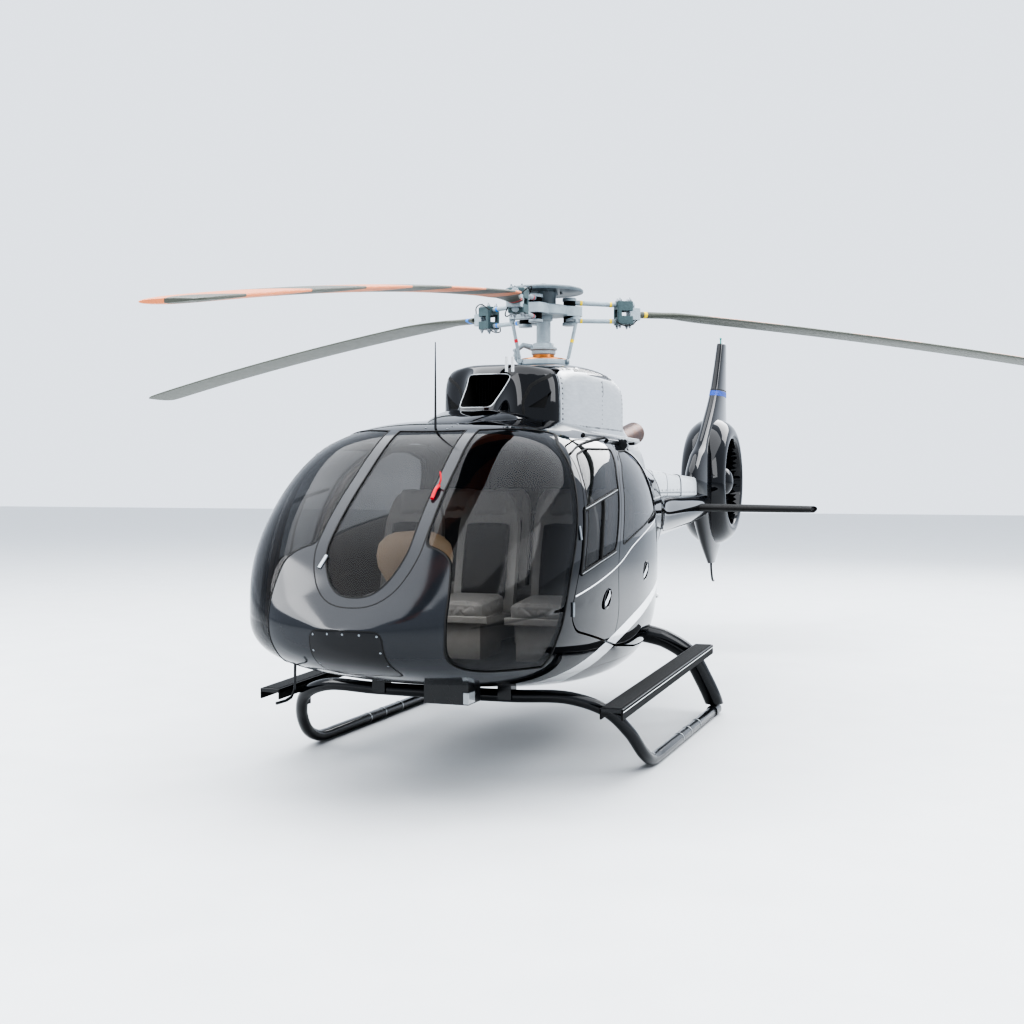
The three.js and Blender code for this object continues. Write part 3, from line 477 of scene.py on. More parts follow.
def landed(spots, towards, step=4.0, reach=1700):
    """Where lines from spots outside meet the skin, and the skin's outward directions there."""
    spots, towards = np.asarray(spots, float).reshape(-1, 3), np.array(towards, float)
    steps = np.arange(0, reach, step)
    lines = spots[:, None] + steps[:, None] * towards
    level = hull_level(lines.reshape(-1, 3)).reshape(lines.shape[:2]) - 1
    first, row = np.maximum(np.argmax(level < 0, axis=1), 1), np.arange(len(spots))
    before, after = level[row, first - 1], level[row, first]
    points = spots + (steps[first - 1] + step * before / (before - after))[:, None] * towards
    return points, hull_normals(points)


def on_side(outline, sign=1):
    """Points (y, z) laid on the left or right flank."""
    return landed([[sign * OUTSIDE["x"], y, z] for y, z in outline], (-sign, 0, 0))


def on_front(outline):
    """Points (x, z) laid on the front."""
    return landed([[x, OUTSIDE["front"], z] for x, z in outline], (0, 1, 0))


def on_roof(outline):
    """Points (x, y) laid on the roof."""
    return landed([[x, y, OUTSIDE["above"]] for x, y in outline], (0, 0, -1))


# How closely a face follows the hull: the least share for smooth shading, and for the lining inside
ON_SKIN = 0.9
ON_LINING = 0.8


def read(items, field, width, kind=float):
    """One field of a mesh's items as an array."""
    values = np.empty(len(items) * width, kind)
    items.foreach_get(field, values)
    return values.reshape(-1, width) if width > 1 else values


def hull_shading(mesh, inner=0):
    """Exact hull normals on both skins of a panel. Inner faces take the material of that number."""
    face = read(mesh.polygons, "normal", 3, np.float32)
    centres = read(mesh.polygons, "center", 3, np.float32)
    totals = read(mesh.polygons, "loop_total", 1, np.int32)
    corner = read(mesh.loops, "vertex_index", 1, np.int32)
    agree = np.sum(face * hull_normals(from_part(centres)), axis=1)
    smooth = hull_normals(from_part(read(mesh.vertices, "co", 3, np.float32)))[corner]
    turn = np.repeat(agree, totals)[:, None]
    flat = np.repeat(face, totals, axis=0)
    normals = np.where(turn > ON_SKIN, smooth, np.where(turn < -ON_SKIN, -smooth, flat))
    mesh.shade_smooth()
    mesh.normals_split_custom_set(normals.tolist())
    if inner:
        numbers = np.where(agree < -ON_LINING, inner, 0).astype(np.int32)
        mesh.polygons.foreach_set("material_index", numbers)
    mesh.update()


# Materials

def add(tree, kind, inputs=None, **settings):
    """Adds a node with its settings. An input is a value, a socket, or a node whose first output it takes."""
    node = tree.nodes.new("ShaderNode" + kind)
    for name, value in settings.items():
        setattr(node, name, value)
    for name, value in (inputs or {}).items():
        if isinstance(value, bpy.types.Node):
            value = value.outputs[0]
        if isinstance(value, bpy.types.NodeSocket):
            tree.links.new(value, node.inputs[name])
        else:
            node.inputs[name].default_value = value
    return node


def surface(name, colours, roughness, grain, relief=0.0, stretch=(1, 1, 1), **sockets):
    """A Principled material whose colour and roughness wander between two values.

    The grain is the size in millimetres over which they change, and the relief is the height
    in millimetres of the bumps of that size."""
    material = bpy.data.materials.new(name)
    material.use_nodes = True
    tree = material.node_tree
    shader = tree.nodes["Principled BSDF"]
    for socket, value in sockets.items():
        shader.inputs[socket.replace("_", " ")].default_value = value
    place = add(tree, "TexCoord").outputs["Object"]
    scaled = add(tree, "Mapping", {"Scale": [s / (grain * MM) for s in stretch], "Vector": place})
    noise = add(tree, "TexNoise", {"Scale": 1.0, "Detail": 3.0, "Vector": scaled}).outputs["Fac"]
    low, high = ([*(linear(c) if isinstance(c, str) else c), 1.0] for c in colours)
    tint = add(tree, "Mix", {6: low, 7: high, 0: noise}, data_type="RGBA")
    tree.links.new(tint.outputs[2], shader.inputs["Base Color"])
    rough = add(tree, "MapRange", {"To Min": roughness[0], "To Max": roughness[1], "Value": noise})
    tree.links.new(rough.outputs[0], shader.inputs["Roughness"])
    if relief:
        bump = add(tree, "Bump", {"Strength": 1.0, "Distance": relief * MM, "Height": noise})
        tree.links.new(bump.outputs[0], shader.inputs["Normal"])
    return material


def shades(colour, *factors):
    """A colour made darker or lighter by each factor."""
    return [[min(1.0, channel * factor) for channel in colour] for factor in factors]


def painted_over(material, mask, colour):
    """Lays a second colour over a material where the mask is 1."""
    tree = material.node_tree
    base = tree.nodes["Principled BSDF"].inputs["Base Color"]
    over = add(tree, "Mix", {7: [*colour, 1.0], 0: mask, 6: base.links[0].from_socket}, data_type="RGBA")
    tree.links.new(over.outputs[2], base)
    return material


def from_shaft(tree):
    """The place on a piece, measured from the rotor shaft in metres."""
    place = add(tree, "TexCoord").outputs["Object"]
    return add(tree, "VectorMath", {1: (SHAFT.x, SHAFT.y, 0), 0: place}, operation="SUBTRACT")


def colours():
    return bpy.context.scene.heli_colours


# Sweep stripe and pinstripe, columns: z, y of the front edge, y of the rear edge
SWEEP = [
    [470, -1300, -1300], [486, -1500, -1330], [520, -1800, -1450], [600, -2010, -1680], [682, -2041, -1700],
    [790, -1938, -1590], [857, -1791, -1420], [949, -1450, -1015], [1018, -1090, -640], [1094, -570, -180],
    [1180, 120, 420], [1290, 1150, 1180], [1320, 1400, 1400],
]
SWEEP_SPAN = (-2200, 1500)
# Columns: y, z
PINSTRIPE = [[-2440, 1183], [-2085, 1247], [-1710, 1321], [-1233, 1450], [-432, 1564], [700, 1650],
             [1800, 1690]]
PINSTRIPE_SPAN = (1100, 1750)
PINSTRIPE_WIDTH = 9


def along_table(tree, table, value, span):
    """What a table of (input, output) in millimetres gives for a value in metres."""
    low, high = span
    curve = add(tree, "FloatCurve")
    points = curve.mapping.curves[0].points
    first, last = table[0][0], table[-1][0]
    for i, (x, y) in enumerate(table):
        spot = ((x - first) / (last - first), (y - low) / (high - low))
        if i in (0, len(table) - 1):
            points[0 if i == 0 else -1].location = spot
        else:
            points.new(*spot)
    curve.mapping.update()
    share = add(tree, "MapRange", {"From Min": first * MM, "From Max": last * MM, "Value": value})
    tree.links.new(share.outputs[0], curve.inputs["Value"])
    return add(tree, "MapRange", {"To Min": low * MM, "To Max": high * MM, "Value": curve}, clamp=False)


@functools.cache
def body_enamel():
    """Polyurethane enamel, sprayed and polished: near-black, with a mirror-like top coat."""
    return surface("polished_enamel_black", shades(colours().body, 0.8, 1.2), (0.02, 0.04), 5, 0.002,
                   IOR=1.52)


@functools.cache
def livery_enamel():
    """The same enamel with the white sweep stripe and pinstripe masked and sprayed on."""
    material = body_enamel().copy()
    material.name = "polished_enamel_striped"
    tree = material.node_tree
    place = add(tree, "SeparateXYZ", {0: from_shaft(tree)}).outputs
    front = along_table(tree, [[z, a] for z, a, _ in SWEEP], place["Z"], SWEEP_SPAN)
    rear = along_table(tree, [[z, b] for z, _, b in SWEEP], place["Z"], SWEEP_SPAN)
    behind = add(tree, "Math", {0: place["Y"], 1: front}, operation="GREATER_THAN")
    before = add(tree, "Math", {0: place["Y"], 1: rear}, operation="LESS_THAN")
    sweep = add(tree, "Math", {0: behind, 1: before}, operation="MULTIPLY")
    line = along_table(tree, PINSTRIPE, place["Y"], PINSTRIPE_SPAN)
    off = add(tree, "Math", {0: add(tree, "Math", {0: place["Z"], 1: line}, operation="SUBTRACT")},
              operation="ABSOLUTE")
    thin = add(tree, "Math", {0: off, 1: PINSTRIPE_WIDTH / 2 * MM}, operation="LESS_THAN")
    started = add(tree, "Math", {0: place["Y"], 1: PINSTRIPE[0][0] * MM}, operation="GREATER_THAN")
    thin = add(tree, "Math", {0: thin, 1: started}, operation="MULTIPLY")
    return painted_over(material, add(tree, "Math", {0: sweep, 1: thin}, operation="MAXIMUM"),
                        colours().stripe)


@functools.cache
def pale_enamel():
    """Pale grey enamel, sprayed: smooth and bright, with a faint sheen."""
    return surface("gloss_enamel_pale", ("#b4b8bb", "#c6cacc"), (0.12, 0.2), 30, 0.01, IOR=1.5)


@functools.cache
def nose_enamel():
    """Satin enamel, sprayed: dark grey that catches the sky more broadly than the body's gloss."""
    return surface("satin_enamel_grey", shades(colours().nose, 0.85, 1.15), (0.09, 0.15), 5, 0.004, IOR=1.5)


@functools.cache
def rubber_seal():
    """Extruded rubber: soft black with almost no shine."""
    return surface("extruded_rubber", ("#0c0c0c", "#1b1b1b"), (0.6, 0.8), 3, 0.05, IOR=1.52)


@functools.cache
def tinted_acrylic():
    """Stretched acrylic, cast and tinted grey: see-through face on, more mirror-like at a glance."""
    material = surface("tinted_acrylic", ("#06080c", "#0b0d13"), (0.01, 0.02), 60, 0, IOR=1.49)
    tree = material.node_tree
    facing = add(tree, "LayerWeight", {"Blend": 0.4}).outputs["Facing"]
    cover = add(tree, "MapRange", {"To Min": 0.2, "To Max": 0.9, "Value": facing})
    tree.links.new(cover.outputs[0], tree.nodes["Principled BSDF"].inputs["Alpha"])
    return material


@functools.cache
def rolled_aluminium():
    """Bare clad aluminium sheet, rolled: pale metal with soft streaks along the sheet."""
    return surface("rolled_aluminium_sheet", ("#aeb1b3", "#d2d4d5"), (0.26, 0.42), 14, 0.03,
                   stretch=(1, 0.15, 1), Metallic=1.0)


@functools.cache
def satin_aluminium():
    """Anodised aluminium, extruded: even pale grey with a soft sheen."""
    return surface("anodised_aluminium", ("#9a9d9f", "#b4b7b8"), (0.3, 0.4), 4, 0.01,
                   stretch=(1, 0.1, 1), Metallic=1.0)


@functools.cache
def bright_chrome():
    """Chromium plate, polished: a clean mirror with faint polishing haze."""
    return surface("chromium_plate", ("#cfd2d4", "#e6e8ea"), (0.04, 0.1), 3, 0, Metallic=1.0)


@functools.cache
def hub_paint():
    """Grey epoxy paint over forged metal: light, slightly chalky, with darker grime in patches."""
    return surface("epoxy_paint_grey", shades(colours().hub, 0.72, 1.1), (0.35, 0.55), 35, 0.12, IOR=1.5)


@functools.cache
def fitting_paint():
    """Green-grey primer over machined metal: dull, with lighter worn patches."""
    return surface("primer_green_grey", shades(colours().fitting, 0.7, 1.25), (0.4, 0.6), 20, 0.05, IOR=1.5)


@functools.cache
def black_metal():
    """Black enamel on steel: dark, with a dusty broken shine."""
    return surface("black_enamel_steel", ("#0e0f11", "#1d1f22"), (0.2, 0.42), 18, 0.03, IOR=1.5,
                   Coat_Weight=0.2)


@functools.cache
def bronze():
    """Bronze bearing ring, turned: warm orange metal."""
    return surface("turned_bronze", ("#a4673a", "#c98a58"), (0.25, 0.4), 6, 0.01, Metallic=1.0)


@functools.cache
def steel():
    """Machined steel: mid-grey metal with fine turning marks."""
    return surface("machined_steel", ("#6f7478", "#9da2a6"), (0.22, 0.36), 2, 0.005, Metallic=1.0)


@functools.cache
def plain_paint(name, code, rough=0.35):
    """Brushed-on marking paint: flat colour with a little brush grain."""
    return surface("marking_paint_" + name, shades(linear(code), 0.9, 1.1), (rough, rough + 0.1), 6, 0.02,
                   IOR=1.5)


@functools.cache
def lamp_glass(name, code):
    """Moulded lamp lens: coloured, clear and glossy."""
    return surface("lamp_lens_" + name, shades(linear(code), 0.85, 1), (0.05, 0.12), 8, 0, IOR=1.49,
                   Coat_Weight=0.5)


# Pieces

def piece(name, mesh, body, slot, materials, *replaced, smooth=35):
    """A finished piece that rides on a body, and stands for the nodes that it replaces."""
    obj = bpy.data.objects.new(name, mesh)
    bpy.context.scene.collection.objects.link(obj)
    mesh.name = name
    mesh.materials.clear()
    for material in materials if isinstance(materials, (list, tuple)) else [materials]:
        mesh.materials.append(material)
    if smooth:
        mesh.shade_smooth()
        mesh.set_sharp_from_angle(angle=math.radians(smooth))
    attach(obj, body)
    if replaced:
        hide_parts(*replaced)
    return obj


def fixed(name, mesh, slot, materials, *replaced, **options):
    return piece(name, mesh, "airframe", slot, materials, *replaced, **options)


def hub_part(name, mesh, material, *replaced):
    return piece(name, mesh, "main_rotor", "hub_metal", material, *replaced)


def bevelled(obj, width, segments=2, angle=40):
    """Rounds the sharp edges of a piece by a width in millimetres."""
    modifier = obj.modifiers.new("edges", "BEVEL")
    modifier.width = width * MM
    modifier.segments = segments
    modifier.limit_method = "ANGLE"
    modifier.angle_limit = math.radians(angle)
    modifier.harden_normals = True
    return obj


def hull_piece(name, mesh, body, slot, material, *replaced, lining=False):
    """A panel cut from a layer of the hull. Its inner skin may show the cabin lining."""
    materials = [material, cabin_lining()] if lining else [material]
    obj = piece(name, mesh, body, slot, materials, *replaced, smooth=0)
    hull_shading(mesh, inner=1 if lining else 0)
    return obj


def fixed_panel(name, mesh, slot, material, *replaced, **options):
    return hull_piece(name, mesh, "airframe", slot, material, *replaced, **options)


@functools.cache
def cabin_lining():
    """Needle-felt lining, pressed over foam: warm grey, matt, with a short fuzzy grain."""
    return surface("needle_felt_lining", shades(colours().lining, 0.8, 1.15), (0.85, 0.95), 3, 0.03, IOR=1.45,
                   Sheen_Weight=0.2)


@functools.cache
def layer(outer, inner):
    return less(hull(outer), hull(inner))


def flank(sign):
    return block((50, 3000) if sign > 0 else (-3000, -50), (-5000, 9000), (0, 4000))


def roof_front(grow):
    outline = [*mirrored(ROOF_EDGE), [-1300, 500], [1300, 500]]
    return prism("z", grown(rounded(outline, 110), grow), 1900, 2500)


def glazed_front(shrink):
    """The space of the windscreen and nose, ahead of the panes' rear edge and of the roof."""
    side_view = prism("x", grown(rounded(PANE_EDGE, 110), -shrink), *ACROSS)
    return less(side_view, roof_front(shrink))


def front_outline(outline, grow, sign=0):
    """The space ahead of an outline: a half that is mirrored, or with a sign the whole one of that side."""
    if sign:
        return prism("y", [[sign * x, z] for x, z in grown(rounded(outline, 70), grow)], *AHEAD)
    return prism("y", grown(rounded(mirrored(outline), 90), grow), *AHEAD)


def door_opening(drop):
    outline = [[y, z - drop] for y, z in grown(rounded(DOOR_BAND, 70), DOOR_GAP)]
    return prism("x", outline, *ACROSS)


def doorway():
    return merged(door_opening(0), door_opening(DOOR_GAP))


def seam_side(sign, towards):
    seam = smooth_path(DOOR_SEAM, 5).tolist()
    outline = [*seam, [towards * 4000, 2170], [towards * 4000, 560]]
    return prism("x", grown(outline, -SEAM_GAP / 2), 0, 1500, SEAM_LEAN, sign)


def pane_and_seal(name, body, whole, inner):
    """One pane in its rubber seal. The seal fills the space between the whole opening and the pane."""
    hull_piece(name + "_fine", kept(layer(*GLASS), inner), body, "glazing", tinted_acrylic(), name)
    rim = less(kept(layer(-SEAL_PROUD, GLASS[1] + 1), whole), inner)
    hull_piece(name + "_seal", rim, body, "trim", rubber_seal())


# Panel under the nose and its screws, columns: x, z
CHIN_PANEL = [[-222, 765], [222, 765], [212, 1042], [-212, 1042]]
NOSE_SCREWS = [
    [-190, 1020], [-95, 1026], [0, 1028], [95, 1026], [190, 1020],
    [-200, 930], [200, 930], [-205, 850], [205, 850],
]
# How far the seals stand proud of the skin
SEAL_PROUD = 1.5


class HELI_OT_nose(bpy.types.Operator):
    """Builds the windscreen panes, their frame and seals, and the nose with its panel and fittings"""
    bl_idname = "heli.nose"
    bl_label = "Nose and Windscreen"

    def execute(self, context):
        seal = context.scene.heli_detail.seal / MM
        front = kept(layer(0, WALL), glazed_front(0.3))
        frame_mesh = less(kept(front, front_outline(CENTRE_FRAME, -0.3)), front_outline(CENTRE_PANE, 0))
        fixed_panel("windscreen_frame_fine", frame_mesh, "trim", nose_enamel(), "windscreen_frame")
        whole, inner = glazed_front(0.3), glazed_front(seal)
        for name, sign in {"centre": 0, **SIDES}.items():
            outline = SIDE_PANE if sign else CENTRE_PANE
            opening = kept(whole, front_outline(outline, 0, sign))
            pane = kept(inner, front_outline(outline, -seal, sign))
            pane_and_seal(f"windscreen_{name}", "airframe", opening, pane)
        shell = less(front, front_outline(CENTRE_FRAME, 0), front_outline(SIDE_PANE, 0, 1),
                     front_outline(SIDE_PANE, 0, -1))
        fixed_panel("nose_shell_fine", shell, "paint", nose_enamel(), "nose_shell", lining=True)
        self.fittings()
        return {"FINISHED"}

    def fittings(self):
        """The panel under the nose, its screws, the frame's joint lines, a latch and the probe cover."""
        panel = prism("y", rounded(CHIN_PANEL, 60), -3700, -2900)
        lip = prism("y", grown(rounded(CHIN_PANEL, 60), 7), -3700, -2900)
        fixed_panel("chin_panel", kept(layer(-2.5, 4), panel), "paint", body_enamel())
        fixed_panel("chin_panel_seal", less(kept(layer(-1.2, 4), lip), panel), "trim", rubber_seal())
        spots, out = on_front(NOSE_SCREWS)
        fixed("chin_panel_screws", screws(spots + out * 2, out, 7, 2.5), "cowl_metal", steel())
        edge = [p for p in smooth_path(rounded(mirrored(CENTRE_FRAME), 90)[8:-8], 2) if p[1] < 2120]
        fixed("frame_joint", ribbon(*on_front(edge), 7, 0.8, 2), "trim", rubber_seal())
        spots, out = on_front([[-262, 1362], [-236, 1432]])
        latch = ribbon(np.linspace(spots[0], spots[1], 5), np.linspace(out[0], out[1], 5), 26, 9)
        bevelled(fixed("nose_latch", latch, "cowl_metal", steel()), 3)
        spots, out = on_front([[268, 1740], [271, 1780], [272, 1812]])
        cover = pipe(smooth_path(spots + out * [[10], [22], [12]], 6), 11, 14)
        fixed("probe_cover", cover, "trim", plain_paint("red", "#d0202c"))
        rises, drifts = [[12], [26], [30]], [[0, 0, 0], [12, 8, 28], [4, 20, 66]]
        flag = smooth_path(spots[2] + out[2] * rises + drifts, 6)
        fixed("probe_flag", pipe(flag, 5, 10), "trim", plain_paint("red", "#d0202c"))


class HELI_OT_cabin_shell(bpy.types.Operator):
    """Builds the canopy frame and the belly"""
    bl_idname = "heli.cabin_shell"
    bl_label = "Cabin Shell"

    def execute(self, context):
        wall = layer(0, WALL)
        above = block(ACROSS, (-3500, BULKHEAD), (SILL, 2500))
        below = block(ACROSS, (-3500, BULKHEAD), (100, SILL - 2))
        for name, span in (("canopy_frame", above), ("belly_shell", below)):
            mesh = less(kept(wall, span), glazed_front(0), doorway())
            fixed_panel(name + "_fine", mesh, "paint", livery_enamel(), name, lining=True)
        return {"FINISHED"}


# Door handles, columns: y, z. Rails and grip of the sliding window in each front door, columns: y, z
HANDLES = {"front": (-1945, 1132), "rear": (-984, 1237)}
HANDLE = {"long": 84, "short": 44, "tilt": 32, "depth": 17}
WINDOW_RAILS = [[[-2234, 1682], [-1977, 1731], [-1590, 1789]], [[-2366, 1308], [-2091, 1362], [-1777, 1409]]]
WINDOW_EDGES = [[[-2240, 1678], [-2320, 1474], [-2374, 1305]], [[-1905, 1735], [-2005, 1551], [-2062, 1370]]]
GUTTER = [[-2060, 2012], [-1865, 2060], [-1488, 2106], [-1000, 2140], [-560, 2154]]
DOOR_HINGES = [[-2352, 1545], [-2478, 1110]]


def handle_axes(sign, y, z):
    """Centre and axes of a door handle's oval, sized by its half lengths."""
    spot, out = on_side([[y, z]], sign)
    along = np.array((0, math.cos(math.radians(HANDLE["tilt"])), math.sin(math.radians(HANDLE["tilt"]))))
    across = np.cross(along, out[0])
    return spot[0], (along * HANDLE["long"], across * HANDLE["short"], out[0])


class HELI_OT_doors(bpy.types.Operator):
    """Builds the hinged front doors and the sliding rear doors with their glass, handles and trim"""
    bl_idname = "heli.doors"
    bl_label = "Doors"

    def execute(self, context):
        seal = context.scene.heli_detail.seal / MM
        windows = {"front": (FRONT_WINDOW, 60, -1), "rear": (REAR_WINDOW, 75, 1)}
        band = prism("x", rounded(DOOR_BAND, 70), *ACROSS)
        for name, sign in SIDES.items():
            shell = kept(layer(0, WALL), flank(sign), band)
            for which, (outline, radius, towards) in windows.items():
                opening = rounded(outline, radius)
                body = f"front_door_leaf_{name}" if which == "front" else "airframe"
                recess = turned([[0, -HANDLE["depth"]], [1, -HANDLE["depth"]], [1, 60], [0, 60]], 48,
                                *handle_axes(sign, *HANDLES[which]))
                door = less(kept(shell, seam_side(sign, towards)), prism("x", opening, *ACROSS), recess)
                hull_piece(f"{which}_door_{name}_fine", door, body, "paint", livery_enamel(),
                           f"{which}_door_{name}", lining=True)
                inner = prism("x", grown(opening, -seal), *ACROSS)
                whole = kept(flank(sign), prism("x", opening, *ACROSS))
                pane_and_seal(f"{which}_door_glass_{name}", body, whole, kept(flank(sign), inner))
                self.handle(f"{which}_door_handle_{name}", body, sign, *HANDLES[which])
            self.window_frame(name, sign)
            fixed(f"gutter_{name}", ribbon(*on_side(smooth_path(GUTTER, 8), sign), 12, 11), "trim",
                  rubber_seal())
            spots, out = on_side(DOOR_HINGES, sign)
            up = np.cross(out, (0, 1, 0))
            hinges = joined(*[rod(spot + o * 4 - u * 42, spot + o * 4 + u * 42, 9, 14)
                              for spot, o, u in zip(spots, out, up)])
            fixed(f"door_hinge_pins_{name}", hinges, "cowl_metal", steel())
        return {"FINISHED"}

    def handle(self, name, body, sign, y, z):
        """A bowl let into the door in matt black, painted shade for its hollow, its rim and the chromed lever
        across it.
        """
        centre, axes = handle_axes(sign, y, z)
        deep = -HANDLE["depth"] + 0.3
        bowl = [[0, deep], [0.99, deep], [0.99, -1], [0.93, -4], [0.78, -10], [0.45, -14], [0, -15]]
        rim = [[0.95, -3], [1.06, -1], [1.12, 1], [1.1, 4.5], [1.0, 6], [0.93, 3], [0.95, -3]]
        # The bowl is matt black: painted shade for the hollow behind the lever.
        piece(name + "_bowl", turned(bowl, 48, centre, axes), body, "dark_metal", matt_black_and_painted_shade())
        piece(name + "_rim", turned(rim, 48, centre, axes), body, "paint", body_enamel())
        share = np.linspace(-0.82, 0.82, 9)
        spots = centre + np.outer(share, axes[0]) + np.outer(3 - 13 * share ** 4, axes[2])
        lever = ribbon(spots, axes[2], 30, 6, 3)
        bevelled(piece(name + "_lever", lever, body, "cowl_metal", bright_chrome()), 1.5)

    def window_frame(self, name, sign):
        """Rails and grips of the sliding window."""
        body = f"front_door_leaf_{name}"
        rails, edges = [], []
        for paths, bars, width, height in ((WINDOW_RAILS, rails, 24, 8), (WINDOW_EDGES, edges, 16, 9)):
            for path in paths:
                bars.append(ribbon(*on_side(spaced(path, 60), sign), width, height, 4))
        piece(f"window_rails_{name}", joined(*rails), body, "trim", rubber_seal())
        piece(f"window_edges_{name}", joined(*edges), body, "trim", rubber_seal())
        for path in WINDOW_RAILS:
            spots, out = on_side(spaced(path, 60), sign)
            edge = ribbon(spots + out * 7.4, out, 6, 1, 0.5)
            piece(f"window_runner_{name}_{path[0][1]}", edge, body, "cowl_metal", satin_aluminium())


# Rail of the left sliding door: its two ends, its brackets (y, inner x), the place (y, z) of the door's
# carrier, and the ends (y, z) of the bar under it
RAIL = {"ends": ((700, -1083, 2166), (675, 279, 2148)), "brackets": ((-960, 560), (-420, 520), (170, 380)),
        "carrier": (-714, 2086), "under": ((-1120, 2112), (280, 2100))}
# Lamp on the left flank; its profile's columns are radius and x
FLANK_LAMP = {"bracket": ((895, 938), (-222, -176), (984, 1012)), "centre": (0, -199, 1003),
              "profile": [[0, 936], [15, 936], [17, 946], [11, 957], [0, 960]]}


class HELI_OT_rear_body(bpy.types.Operator):
    """Builds the rear body with its bulkhead, engine deck and baggage doors"""
    bl_idname = "heli.rear_body"
    bl_label = "Rear Body"

    def execute(self, context):
        wall, skin = layer(0, WALL), hull(0)
        opening = rounded(BAGGAGE_DOOR, 60)
        span = block(ACROSS, (BULKHEAD + 2, 2500), (100, 2500))
        bulkhead = block(ACROSS, (BULKHEAD + 2, BULKHEAD + WALL), (100, 2500))
        deck = block(ACROSS, (BULKHEAD + 2, 2150), (1866, 1900))
        body = merged(kept(wall, span), kept(skin, bulkhead), kept(skin, deck))
        holes = [prism("x", grown(opening, DOOR_GAP), 0, 1500, BAGGAGE_LEAN, sign) for sign in SIDES.values()]
        holes = [less(hole, block((-250, 250), (-300, 1500), (500, 2500))) for hole in holes]
        body = less(body, *holes, pipe(rear_arch(), TUBE["leg"] + 1, 24),
                   exhaust_rod(EXHAUST["radius"] + DOOR_GAP, -70, 70),
                   block((-300, 300), (780, 2020), (1900, 2500)))
        fixed_panel("rear_body_fine", body, "paint", livery_enamel(), "rear_body", lining=True)
        self.rail()
        for name, sign in SIDES.items():
            door = kept(wall, flank(sign), prism("x", opening, 0, 1500, BAGGAGE_LEAN, sign))
            hull_piece(f"baggage_door_{name}_fine", door, f"baggage_door_leaf_{name}", "paint",
                       livery_enamel(), f"baggage_door_{name}", lining=True)
        return {"FINISHED"}

    def rail(self):
        """The flank lamp, and the rail of the left sliding door on its brackets with its carrier."""
        fixed("flank_lamp_bracket", block(*FLANK_LAMP["bracket"]), "trim", black_metal())
        lamp = turned(FLANK_LAMP["profile"], 28, FLANK_LAMP["centre"], AXES["x"])
        fixed("flank_lamp", lamp, "trim", lamp_glass("flank", "#f0f2f2"))
        front, back = (np.array(end, float) for end in RAIL["ends"])
        shares = np.linspace(0, 1, 8)[:, None]
        bar = ribbon(front + (back - front) * shares, (0.94, 0, 0.34), 30, 14, 14)
        bevelled(fixed("door_rail_bar", bar, "cowl_metal", satin_aluminium()), 2)
        under = ribbon(*on_side(spaced(RAIL["under"], 60)), 24, 20, 4)
        arms = []
        for y, inner in RAIL["brackets"]:
            x, _, z = front + (back - front) * (y - front[1]) / (back[1] - front[1])
            arms.append(block((inner, x + 4), (y - 22, y + 22), (z - 34, z - 14)))
        y, z = RAIL["carrier"]
        spots, away = on_side([[y - 36, z], [y + 36, z]])
        arms.append(ribbon(spots, away, 74, 46, 6))
        arms.append(rod(spots[0] + away[0] * 46, spots[1] + away[1] * 46, 15, 18))
        bevelled(fixed("door_rail_carrier", joined(under, *arms), "trim", black_metal()), 3)


# Cowls, columns: y, half width, base z, top z, power
GEARBOX_COWL = [
    [-1490, 140, 2150, 2315, 4], [-1150, 190, 2150, 2620, 5], [-940, 425, 2150, 2650, 7],
    [-500, 455, 2150, 2690, 9], [0, 460, 2150, 2700, 9], [400, 455, 2150, 2680, 9],
    [680, 445, 2100, 2630, 9],
]
ENGINE_COWL = [
    [681, 430, 2000, 2560, 3.5], [1000, 400, 1980, 2430, 3], [1500, 350, 1940, 2290, 2.6],
    [2000, 290, 1900, 2240, 2.4], [2350, 215, 1850, 2190, 2.2],
]
# Columns: x, z
INTAKE = [[-115, 2335], [115, 2335], [155, 2575], [-155, 2575]]
EXHAUST = {"radius": 105, "wall": 9, "floor": 30, "from": (0, 2010, 2170), "to": (0, 2720, 2290)}
# Columns: radius, z
MAST_HOUSING = [[0, 2640], [235, 2640], [235, 2696], [231, 2701], [200, 2710], [66, 2712], [66, 2690],
                [0, 2690]]


def cowl(table, inset=0, steps=8, sides=64):
    """A closed arch-shaped body through the sections of a table."""
    rows = rows_of(table, (len(table) - 1) * steps + 1)
    angles = np.linspace(0, math.pi, sides + 1)
    rings = []
    for y, half, base, top, power in rows:
        c, s = np.cos(angles), np.sin(angles)
        reach = (np.abs(c) ** power + np.abs(s) ** power) ** (-1 / power)
        rings.append(np.stack([(half - inset) * reach * c, np.full(len(c), y),
                               base + (top - inset - base) * reach * s], axis=1))
    return lofted(rings)


def exhaust_rod(radius, start_shift=0, end_shift=0):
    start, end = np.array(EXHAUST["from"], float), np.array(EXHAUST["to"], float)
    along = (end - start) / np.linalg.norm(end - start)
    return rod(start + along * start_shift, end + along * end_shift, radius, 48)


def cowl_level(table, points):
    """Below 1 inside a cowl, above 1 outside it."""
    rows = rows_of(table, 400)
    _, half, base, top, power = (np.interp(points[:, 1], rows[:, 0], column) for column in rows.T)
    return (np.abs(points[:, 0]) / half) ** power + np.abs((points[:, 2] - base) / (top - base)) ** power


def on_cowl(table, spots, towards, reach=1000.0, step=2.0):
    """Where lines from spots outside meet a cowl, and its outward directions there."""
    spots, towards = np.asarray(spots, float).reshape(-1, 3), np.array(towards, float)
    steps = np.arange(0, reach, step)
    lines = spots[:, None] + steps[:, None] * towards
    level = cowl_level(table, lines.reshape(-1, 3)).reshape(lines.shape[:2]) - 1
    points = spots + steps[np.maximum(np.argmax(level < 0, axis=1), 1)][:, None] * towards
    out = np.stack([cowl_level(table, points + a) - cowl_level(table, points - a) for a in np.eye(3)], axis=1)
    return points, out / np.linalg.norm(out, axis=1)[:, None]


